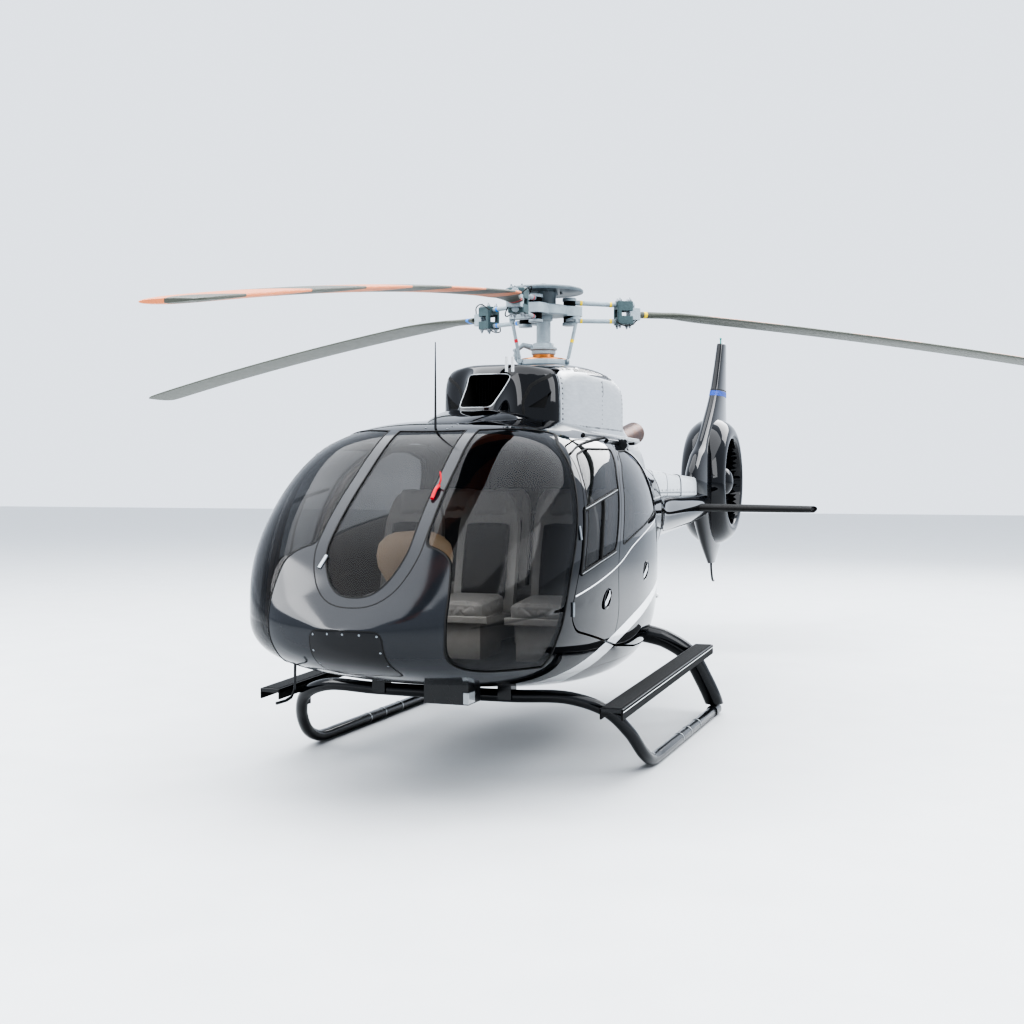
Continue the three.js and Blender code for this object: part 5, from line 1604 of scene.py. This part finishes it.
class HELI_OT_rotor_head(bpy.types.Operator):
    """Builds the mast, hub star, cap, sleeves, pitch links and swash plate"""
    bl_idname = "heli.rotor_head"
    bl_label = "Rotor Head"

    def execute(self, context):
        low, high = HUB["star"]
        disc = turned([[0, low], [182, low], [190, low + 8], [190, high - 8], [182, high], [0, high]], 64)
        arms = [turned_about(prism("z", rounded(strip(0, HUB["arm"], 240, 130), 45), low, high), angle)
                for _, angle, *_ in BLADES]
        star = merged(disc, *arms)
        bevelled(hub_part("rotor_head_fine", joined(turned(MAST, 56), star), hub_paint(), "rotor_head"), 6, 3)
        hub_part("rotor_cap", turned(CAP, 96), cap_paint())
        bolts = [[140 * math.cos(a), 140 * math.sin(a), 3283] for a in around(12)]
        hub_part("cap_bolts", screws(bolts, (0.0, 0.0, -1.0), 10, 8, 6), steel())
        hub_part("cap_button", turned(CAP_BUTTON, 32), black_metal())
        links = []
        for name, angle, _, _, colour in BLADES:
            links += self.link(name, angle, colour)
            self.sleeve(name, angle, colour)
        swash = joined(turned(SWASH, 72), turned(COLLAR, 56), *links, *self.scissors())
        bevelled(hub_part("swash_plate_fine", swash, hub_paint(), "swash_plate"), 2)
        hub_part("swash_bearing", turned(BRONZE_RING, 72), bronze())
        return {"FINISHED"}

    def link(self, name, angle, colour):
        """A pitch link with its two rod ends, and its band of the blade's colour."""
        foot, head = (np.array(point, float) for point in PITCH_LINK)
        along = (head - foot) / np.linalg.norm(head - foot)
        body = [rod(foot + along * trim, head - along * trim, radius, sides)
                for trim, radius, sides in ((24, 13, 18), (6, 8, 14))]
        body += [turned([[0, -11], [17, -11], [22, -6], [22, 6], [17, 11], [0, 11]], 24, end, AXES["x"])
                 for end in (foot, head - along * 4)]
        middle = (foot + head) / 2
        band = turned_about(rod(middle - along * 12, middle + along * 12, 14.2, 18), angle)
        hub_part(f"link_band_{name}", band, plain_paint(colour, BANDS[colour]))
        return [turned_about(mesh, angle) for mesh in body]

    def scissors(self):
        """The two hinged arms that turn the swash plate with the mast."""
        arms = [pipe(path, radii, 14) for path, radii in SCISSORS]
        return [turned_about(mesh, SCISSOR_TURN) for mesh in (*arms, rod(*SCISSOR_PIN, 14, 20))]

    def sleeve(self, name, angle, colour):
        """Two tubes with elastic bearings, the root fitting between them and the pitch horn of one blade."""
        low, high = HUB["star"]
        inner, outer = SLEEVE["inner"], SLEEVE["outer"]
        tubes, bands = [], []
        for (near, far), radius in zip((SLEEVE["upper"], SLEEVE["lower"]), SLEEVE["radius"]):
            start, end = np.array((inner, 0.0, near)), np.array((outer, 0.0, far))
            tubes.append(rod(start, end + (60, 0, 0), radius, 24))
            tubes.append(rod(end + (10, 0, 0), end + (62, 0, 0), radius + 8, 24))
            for share in (0.2, 0.72):
                spot = start + (end - start) * share
                bands.append(rod(spot - (9, 0, 0), spot + (9, 0, 0), radius + 0.8, 24))
        horn = prism("z", rounded([[165, 0], [245, 0], [245, -205], [185, -205]], 22), *SLEEVE["horn"])
        caps = [turned([[0, a], [52, a], [54, a + 3], [54, b - 3], [52, b], [0, b]], 40, (inner, 0, 0))
                for a, b in ((3222, 3248), (3036, 3060))]
        mesh = turned_about(joined(*tubes, *caps, horn), angle)
        bevelled(hub_part(f"sleeve_{name}_fine", mesh, hub_paint(), f"sleeve_{name}"), 3, 2)
        stacks = [turned(ribbed(SLEEVE["bearing"], a, b, 7), 40, (inner, 0, 0))
                  for a, b in ((high + 0.3, 3222), (3060, low - 0.3))]
        hub_part(f"bearing_{name}", turned_about(joined(*stacks), angle), rubber_seal())
        hub_part(f"sleeve_bands_{name}", turned_about(joined(*bands), angle),
                 plain_paint(colour, BANDS[colour]))
        start, end, bottom, top = SLEEVE["fitting"]
        block_mesh = prism("z", rounded(strip(start, end, 124), 14), bottom, top)
        slot = block((start + 34, end + 10), (-70, 70), (3118, 3158))
        block_mesh = less(block_mesh, block((start - 5, start + 78), (-36, 36), (3110, 3168)), slot)
        cuff = prism("z", rounded(strip(end - 26, ROTOR["root"], 112), 10), *SLEEVE["cuff"])
        bevelled(hub_part(f"root_fitting_{name}", turned_about(block_mesh, angle), fitting_paint()), 5, 3)
        bevelled(hub_part(f"root_cuff_{name}", turned_about(cuff, angle), hub_paint()), 4)
        spots = [(start + dx, dy, z) for dx in (24, 102) for dy in (-40, 40) for z in (bottom, top)]
        facings = [(0, 0, 1 if z == top else -1) for _, _, z in spots]
        bolts = joined(screws(spots, facings, 15, 16, 6), screws(spots, facings, 8, 30, 10))
        hub_part(f"root_bolts_{name}", turned_about(bolts, angle), steel())
        wires = joined(*[pipe(smooth_path(path, 8), 4, 8) for path in BONDING_WIRES])
        hub_part(f"bonding_wires_{name}", turned_about(wires, angle), rubber_seal())


@functools.cache
def cap_paint():
    """Dark grey epoxy paint on the rotor cap: smooth, with dust in broad patches."""
    return surface("epoxy_paint_dark", ("#4b555b", "#69747a"), (0.3, 0.45), 60, 0.05, IOR=1.5)


@functools.cache
def blade_finish(name, angle):
    """Polyurethane paint over glass-fibre skin: dull olive grey below, striped above."""
    material = surface(f"blade_paint_{name}", shades(colours().blade, 0.85, 1.15), (0.35, 0.5), 60, 0.02,
                       IOR=1.5)
    tree = material.node_tree
    spun = add(tree, "VectorRotate", {"Angle": math.radians(-angle), "Vector": from_shaft(tree)},
               rotation_type="Z_AXIS")
    along = add(tree, "SeparateXYZ", {0: spun}).outputs
    slant = add(tree, "Math", {0: along["Y"], 1: BLADE_STRIPES["slant"]}, operation="MULTIPLY")
    slanted = add(tree, "Math", {0: along["X"], 1: slant}, operation="ADD")
    wave = add(tree, "Math", {0: slanted, 1: BLADE_STRIPES["pitch"]}, operation="DIVIDE")
    wave = add(tree, "Math", {0: wave}, operation="FRACT")
    wide = add(tree, "Math", {0: wave, 1: 0.5}, operation="LESS_THAN")
    outer = add(tree, "Math", {0: along["X"], 1: BLADE_STRIPES["start"]}, operation="GREATER_THAN")
    facing = add(tree, "SeparateXYZ", {0: add(tree, "NewGeometry").outputs["Normal"]}).outputs["Z"]
    lowest = BLADE_STRIPES["both sides" if name == "a" else "upper side"]
    upper = add(tree, "Math", {0: facing, 1: lowest}, operation="GREATER_THAN")
    mask = add(tree, "Math", {0: wide, 1: outer}, operation="MULTIPLY")
    mask = add(tree, "Math", {0: mask, 1: upper}, operation="MULTIPLY")
    return painted_over(material, mask, colours().stripe_blade)


class HELI_OT_blades(bpy.types.Operator):
    """Builds the three drooping rotor blades"""
    bl_idname = "heli.blades"
    bl_label = "Rotor Blades"

    def execute(self, context):
        rows = rows_of(BLADE_STATIONS, 61)
        for name, angle, droop, swing, colour in BLADES:
            rings = []
            for r, chord, ratio in rows:
                share = max(0.0, (r - ROTOR["bend"]) / (ROTOR["radius"] - ROTOR["bend"]))
                z = ROTOR["z"] - droop * (0.67 * share + 0.33 * share ** 2)
                ring = foil(lambda u, up, r=r, z=z: (r, u, z + up), -chord * ROTOR["quarter"],
                            chord * (1 - ROTOR["quarter"]), chord * ratio / 2, 36)
                turn = math.radians(swing)
                rings.append([(ROTOR["root"] + (x - ROTOR["root"]) * math.cos(turn) - y * math.sin(turn),
                               (x - ROTOR["root"]) * math.sin(turn) + y * math.cos(turn), up)
                              for x, y, up in ring])
            blade = less(lofted(rings), prism("z", strip(400, ROTOR["root"] + 0.3, 400), 2900, 3300))
            blade = turned_about(blade, angle)
            sleeve = []
            for ring in rings[2:14]:
                middle = np.mean([z for _, _, z in ring])
                sleeve.append([(x, y * 1.012, z + (z - middle) * 0.02) for x, y, z in ring])
            band = kept(lofted(sleeve), prism("z", strip(800, 826, 400), 2900, 3300))
            piece(f"blade_band_{name}", turned_about(band, angle), "main_rotor", "blade_skin",
                  plain_paint(colour, BANDS[colour]))
            piece(f"blade_{name}_fine", blade, "main_rotor", "blade_skin", blade_finish(name, angle),
                  f"blade_{name}", smooth=50)
        return {"FINISHED"}


# Cabin: seats, pedestal and floor
FRONT_SEATS = {"y": -1780, "width": 450, "x": {"left": 560, "middle": 0, "right": -560}}
REAR_SEATS = {"y": -870, "width": 380, "x": [-600, -200, 200, 600]}
# Pads of a seat, columns: name, width (what it is narrower than the seat where negative), length, depth,
# place along y from the seat's front, z, lean in degrees
PADS = (("cushion", -50, 440, 120, 190, 1010, 4), ("back", -110, 560, 95, 545, 1290, 77),
        ("headrest", 250, 190, 80, 655, 1690, 77))
# Sections of a seat's moulded back and pan, columns: distance behind the seat's front, z
SEAT_BACK = [[455, 930], [520, 930], [690, 1760], [640, 1770], [470, 1000]]
SEAT_PAN = [[-30, 925], [470, 925], [470, 955], [-30, 975]]
FLOOR_TOP = 690
BELLY_LENS = ((296, 334), (-2404, -2296), (509, 582))
# Columns: radius, z
PEDESTAL = [
    [0, 690.3], [150, 690.3], [132, 800], [120, 1000], [124, 1090], [150, 1200], [230, 1330], [240, 1400],
    [225, 1470], [180, 1515], [120, 1540], [0, 1550],
]


def pad_shape(width, length, depth, sides=10):
    """A rounded box for a pad, centred, with its length along Y."""
    work = bmesh.new()
    bmesh.ops.create_cube(work, size=1.0)
    bmesh.ops.subdivide_edges(work, edges=work.edges, cuts=sides, use_grid_fill=True)
    for vert in work.verts:
        x, y, z = vert.co * 2
        fall = 1 - 0.10 * abs(x) ** 4 - 0.10 * abs(y) ** 4
        vert.co = (x * width / 2 * (1 - 0.06 * abs(y) ** 4), y * length / 2 * (1 - 0.06 * abs(x) ** 4),
                   z * depth / 2 * fall)
    mesh = bpy.data.meshes.new("pad")
    for vert in work.verts:
        vert.co *= MM
    work.to_mesh(mesh)
    work.free()
    return mesh


def inflated(mesh, voxel=6, cap=14):
    """The mesh swollen by a short cloth simulation. A point moves by the cap in millimetres at most."""
    scene = bpy.context.scene
    obj = bpy.data.objects.new("swell", mesh)
    scene.collection.objects.link(obj)
    remesh = obj.modifiers.new("remesh", "REMESH")
    remesh.mode = "VOXEL"
    remesh.voxel_size = voxel * MM
    bpy.context.view_layer.update()
    base = bpy.data.meshes.new_from_object(obj.evaluated_get(bpy.context.evaluated_depsgraph_get()))
    bpy.data.objects.remove(obj)
    obj = bpy.data.objects.new("swell", base)
    scene.collection.objects.link(obj)
    cloth = obj.modifiers.new("cloth", "CLOTH")
    cloth.settings.quality = 4
    cloth.settings.use_pressure = True
    cloth.settings.uniform_pressure_force = scene.heli_detail.pressure
    cloth.settings.effector_weights.gravity = 0
    cloth.point_cache.frame_start, cloth.point_cache.frame_end = 1, 20
    for number in range(1, 21):
        scene.frame_set(number)
    swollen = bpy.data.meshes.new_from_object(obj.evaluated_get(bpy.context.evaluated_depsgraph_get()))
    bpy.data.objects.remove(obj)
    scene.frame_set(1)
    start = read(base.vertices, "co", 3)
    move = read(swollen.vertices, "co", 3) - start
    length = np.linalg.norm(move, axis=1)
    move *= np.minimum(1, cap * MM / np.maximum(length, 1e-9))[:, None]
    swollen.vertices.foreach_set("co", (start + move).ravel())
    swollen.update()
    return swollen


@functools.cache
def seat_leather(insert=False):
    """Tanned leather over foam: a fine pebble of about 2 mm, pale covers and darker inserts."""
    colour = colours().insert if insert else colours().seat
    name = "seat_leather_dark" if insert else "seat_leather_pale"
    return surface(name, shades(colour, 0.9, 1.08), (0.45, 0.6), 2, 0.01, IOR=1.47, Sheen_Weight=0.1)


class HELI_OT_seats(bpy.types.Operator):
    """Builds the padded front seats and the rear bench"""
    bl_idname = "heli.seats"
    bl_label = "Seats"

    def execute(self, context):
        rows = [("front", FRONT_SEATS["width"], FRONT_SEATS["y"], FRONT_SEATS["x"]),
                ("rear", REAR_SEATS["width"], REAR_SEATS["y"],
                 {"place_" + str(i + 1): x for i, x in enumerate(REAR_SEATS["x"])})]
        for row, width, y, places in rows:
            pads = [inflated(pad_shape(wide if wide > 0 else width + wide, long, deep))
                    for _, wide, long, deep, *_ in PADS]
            for place, x in places.items():
                for (part, *_, back, up, lean), mesh in zip(PADS, pads):
                    pad = mesh.copy()
                    turn = Matrix.Rotation(math.radians(lean), 4, "X")
                    spot = to_part((x, y + back, up))[0]
                    pad.transform(Matrix.Translation(Vector(spot)) @ turn)
                    obj = fixed(f"seat_{part}_{row}_{place}", pad, "seat_cloth", seat_leather(part == "back"),
                                smooth=60)
        for name, x in FRONT_SEATS["x"].items():
            self.shell(f"seat_front_{name}", [x], FRONT_SEATS["width"], FRONT_SEATS["y"])
        self.shell("seat_rear", REAR_SEATS["x"], REAR_SEATS["width"], REAR_SEATS["y"])
        return {"FINISHED"}

    def shell(self, node, places, width, y):
        """The moulded seat shells and pans behind and under the pads."""
        parts = []
        for x in places:
            low, high = x - width / 2 + 6, x + width / 2 - 6
            outline = [[low, 930], [high, 930], [high, 1560], [x + 150, 1771], [x - 150, 1771], [low, 1560]]
            back = prism("x", [[u + y, v] for u, v in rounded(SEAT_BACK, 25)], low, high)
            parts.append(kept(back, prism("y", rounded(outline, 90), y, y + 900)))
            parts.append(prism("x", [[u + y, v] for u, v in rounded(SEAT_PAN, 12)], low, high))
            foot = width * 0.35
            parts.append(block((x - foot, x + foot), (y + 20, y + 400), (FLOOR_TOP + 1, 930)))
        bevelled(fixed(node + "_shell", joined(*parts), "seat_cloth", seat_shell(), node), 6, 3)


@functools.cache
def moulded_plastic():
    """Moulded ABS: pale warm grey with a fine leather-like grain."""
    return surface("moulded_abs", shades(colours().binnacle, 0.9, 1.1), (0.4, 0.55), 2, 0.06, IOR=1.5)


@functools.cache
def seat_shell():
    """Gel-coated glass fibre, moulded: off-white and smooth, with a soft sheen."""
    return surface("gel_coat_shell", ("#bab6ae", "#cdcac3"), (0.3, 0.4), 40, 0.01, IOR=1.5)


@functools.cache
def floor_covering():
    """Rubbed vinyl floor covering: dark grey with scuffs about 80 mm long."""
    return surface("vinyl_floor", ("#3a3938", "#5a5856"), (0.55, 0.8), 80, 0.02, IOR=1.5)


class HELI_OT_cabin(bpy.types.Operator):
    """Builds the pedestal and the lamp's lens, and finishes the pieces kept from the solids"""
    bl_idname = "heli.cabin"
    bl_label = "Cabin Fittings"

    def execute(self, context):
        pedestal = turned(PEDESTAL, 56)
        pedestal.transform(Matrix.Translation((SHAFT.x, SHAFT.y - 2.44, 0)) @ Matrix.Diagonal((1, 0.75, 1, 1))
                           @ Matrix.Translation((-SHAFT.x, -SHAFT.y, 0)))
        mesh = kept(pedestal, hull(WALL + 20))
        fixed("instrument_pedestal_fine", mesh, "pedestal", moulded_plastic(), "instrument_pedestal",
              smooth=50)
        lens = fixed("belly_lamp_lens", block(*BELLY_LENS), "trim",
                     lamp_glass("belly", "#b9bdbf"))
        bevelled(lens, 6, 3)
        finishes = {floor_covering(): ["cabin_floor"], cabin_lining(): ["door_post_left", "door_post_right"],
                    black_metal(): ["engine_block", "belly_lamp", "pitot_tube", "whip_antenna",
                                    "door_rail_left"]}
        for material, nodes in finishes.items():
            for node in nodes:
                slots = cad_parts[node].data.materials
                slots.clear()
                slots.append(material)
        return {"FINISHED"}


# Stage

# Softboxes: name, place in metres, width and height, power in watts
LIGHTS = (
    ("key", (-10, -9, 9), (8, 6), 700),
    ("fill", (12, -3, 7), (6, 8), 450),
    ("back", (5, 14, 10), (12, 6), 800),
    ("overhead", (0, -2, 15), (30, 26), 4400),
)
LIT_SPOT = (0, 0, 1.2)
SKY = {"colour": "#e4ebf5", "strength": 1.05, "exposure": 0.2}
FLOOR_REACH = 60.0
# The camera's place in millimetres, its level direction, its pitch in degrees and its focal length
CAMERA = {"place": (3316, -9919, 1871), "towards": (-0.339, 0.941), "pitch": -1.471, "lens": 47.73}


@functools.cache
def studio_floor():
    """Rolled studio vinyl: pale grey, matt, with a barely visible mottle."""
    return surface("studio_vinyl", ("#c9cbcc", "#d3d5d6"), (0.6, 0.75), 500, 0, IOR=1.45)


class HELI_OT_stage(bpy.types.Operator):
    """Builds the floor, the studio light and the camera"""
    bl_idname = "heli.stage"
    bl_label = "Stage"

    def execute(self, context):
        scene = context.scene
        mesh = bpy.data.meshes.new("studio_floor")
        corners = [(x * FLOOR_REACH, y * FLOOR_REACH, 0) for x, y in ((-1, -1), (1, -1), (1, 1), (-1, 1))]
        mesh.from_pydata(corners, [], [(0, 1, 2, 3)])
        mesh.materials.append(studio_floor())
        floor = bpy.data.objects.new("studio_floor", mesh)
        scene.collection.objects.link(floor)
        world = bpy.data.worlds.new("studio")
        world.use_nodes = True
        sky = world.node_tree.nodes["Background"].inputs
        sky["Color"].default_value = (*linear(SKY["colour"]), 1.0)
        sky["Strength"].default_value = SKY["strength"]
        scene.world = world
        scene.view_settings.look = "AgX - Very High Contrast"
        scene.view_settings.exposure = SKY["exposure"]
        for name, place, size, power in LIGHTS:
            light = bpy.data.lights.new(name, "AREA")
            light.shape = "RECTANGLE"
            light.size, light.size_y = size
            light.energy = power
            obj = bpy.data.objects.new(name, light)
            obj.location = place
            obj.rotation_euler = (Vector(LIT_SPOT) - Vector(place)).to_track_quat("-Z", "Y").to_euler()
            obj.visible_camera = False
            scene.collection.objects.link(obj)
        lens = bpy.data.cameras.new("camera")
        lens.lens = CAMERA["lens"]
        lens.sensor_width = 36
        camera = bpy.data.objects.new("camera", lens)
        camera.location = Vector(to_part(CAMERA["place"])[0])
        level = math.cos(math.radians(CAMERA["pitch"]))
        towards = Vector((CAMERA["towards"][0] * level, CAMERA["towards"][1] * level,
                          math.sin(math.radians(CAMERA["pitch"]))))
        camera.rotation_euler = towards.to_track_quat("-Z", "Y").to_euler()
        scene.collection.objects.link(camera)
        scene.camera = camera
        return {"FINISHED"}


OPERATORS = (
    HELI_OT_nose, HELI_OT_cabin_shell, HELI_OT_doors, HELI_OT_rear_body, HELI_OT_cowls, HELI_OT_tail,
    HELI_OT_fan, HELI_OT_gear, HELI_OT_rotor_head, HELI_OT_blades, HELI_OT_seats, HELI_OT_cabin,
    HELI_OT_stage,
)


class HELI_PT_panel(bpy.types.Panel):
    """Lists the pieces and the settings"""
    bl_idname = "HELI_PT_panel"
    bl_label = "Helicopter"
    bl_space_type = "VIEW_3D"
    bl_region_type = "UI"
    bl_category = "Helicopter"

    def draw(self, context):
        for settings in (context.scene.heli_colours, context.scene.heli_detail):
            for name in settings.__annotations__:
                self.layout.prop(settings, name)
        for operator in OPERATORS:
            self.layout.operator(operator.bl_idname)


CLASSES = (HELI_PG_colours, HELI_PG_detail, *OPERATORS, HELI_PT_panel)


def register():
    for cls in CLASSES:
        bpy.utils.register_class(cls)
    bpy.types.Scene.heli_colours = PointerProperty(type=HELI_PG_colours)
    bpy.types.Scene.heli_detail = PointerProperty(type=HELI_PG_detail)


def unregister():
    del bpy.types.Scene.heli_detail
    del bpy.types.Scene.heli_colours
    for cls in reversed(CLASSES):
        bpy.utils.unregister_class(cls)


def main():
    register()
    for operator in OPERATORS:
        group, name = operator.bl_idname.split(".")
        getattr(getattr(bpy.ops, group), name)()


if __name__ == "__main__":
    main()
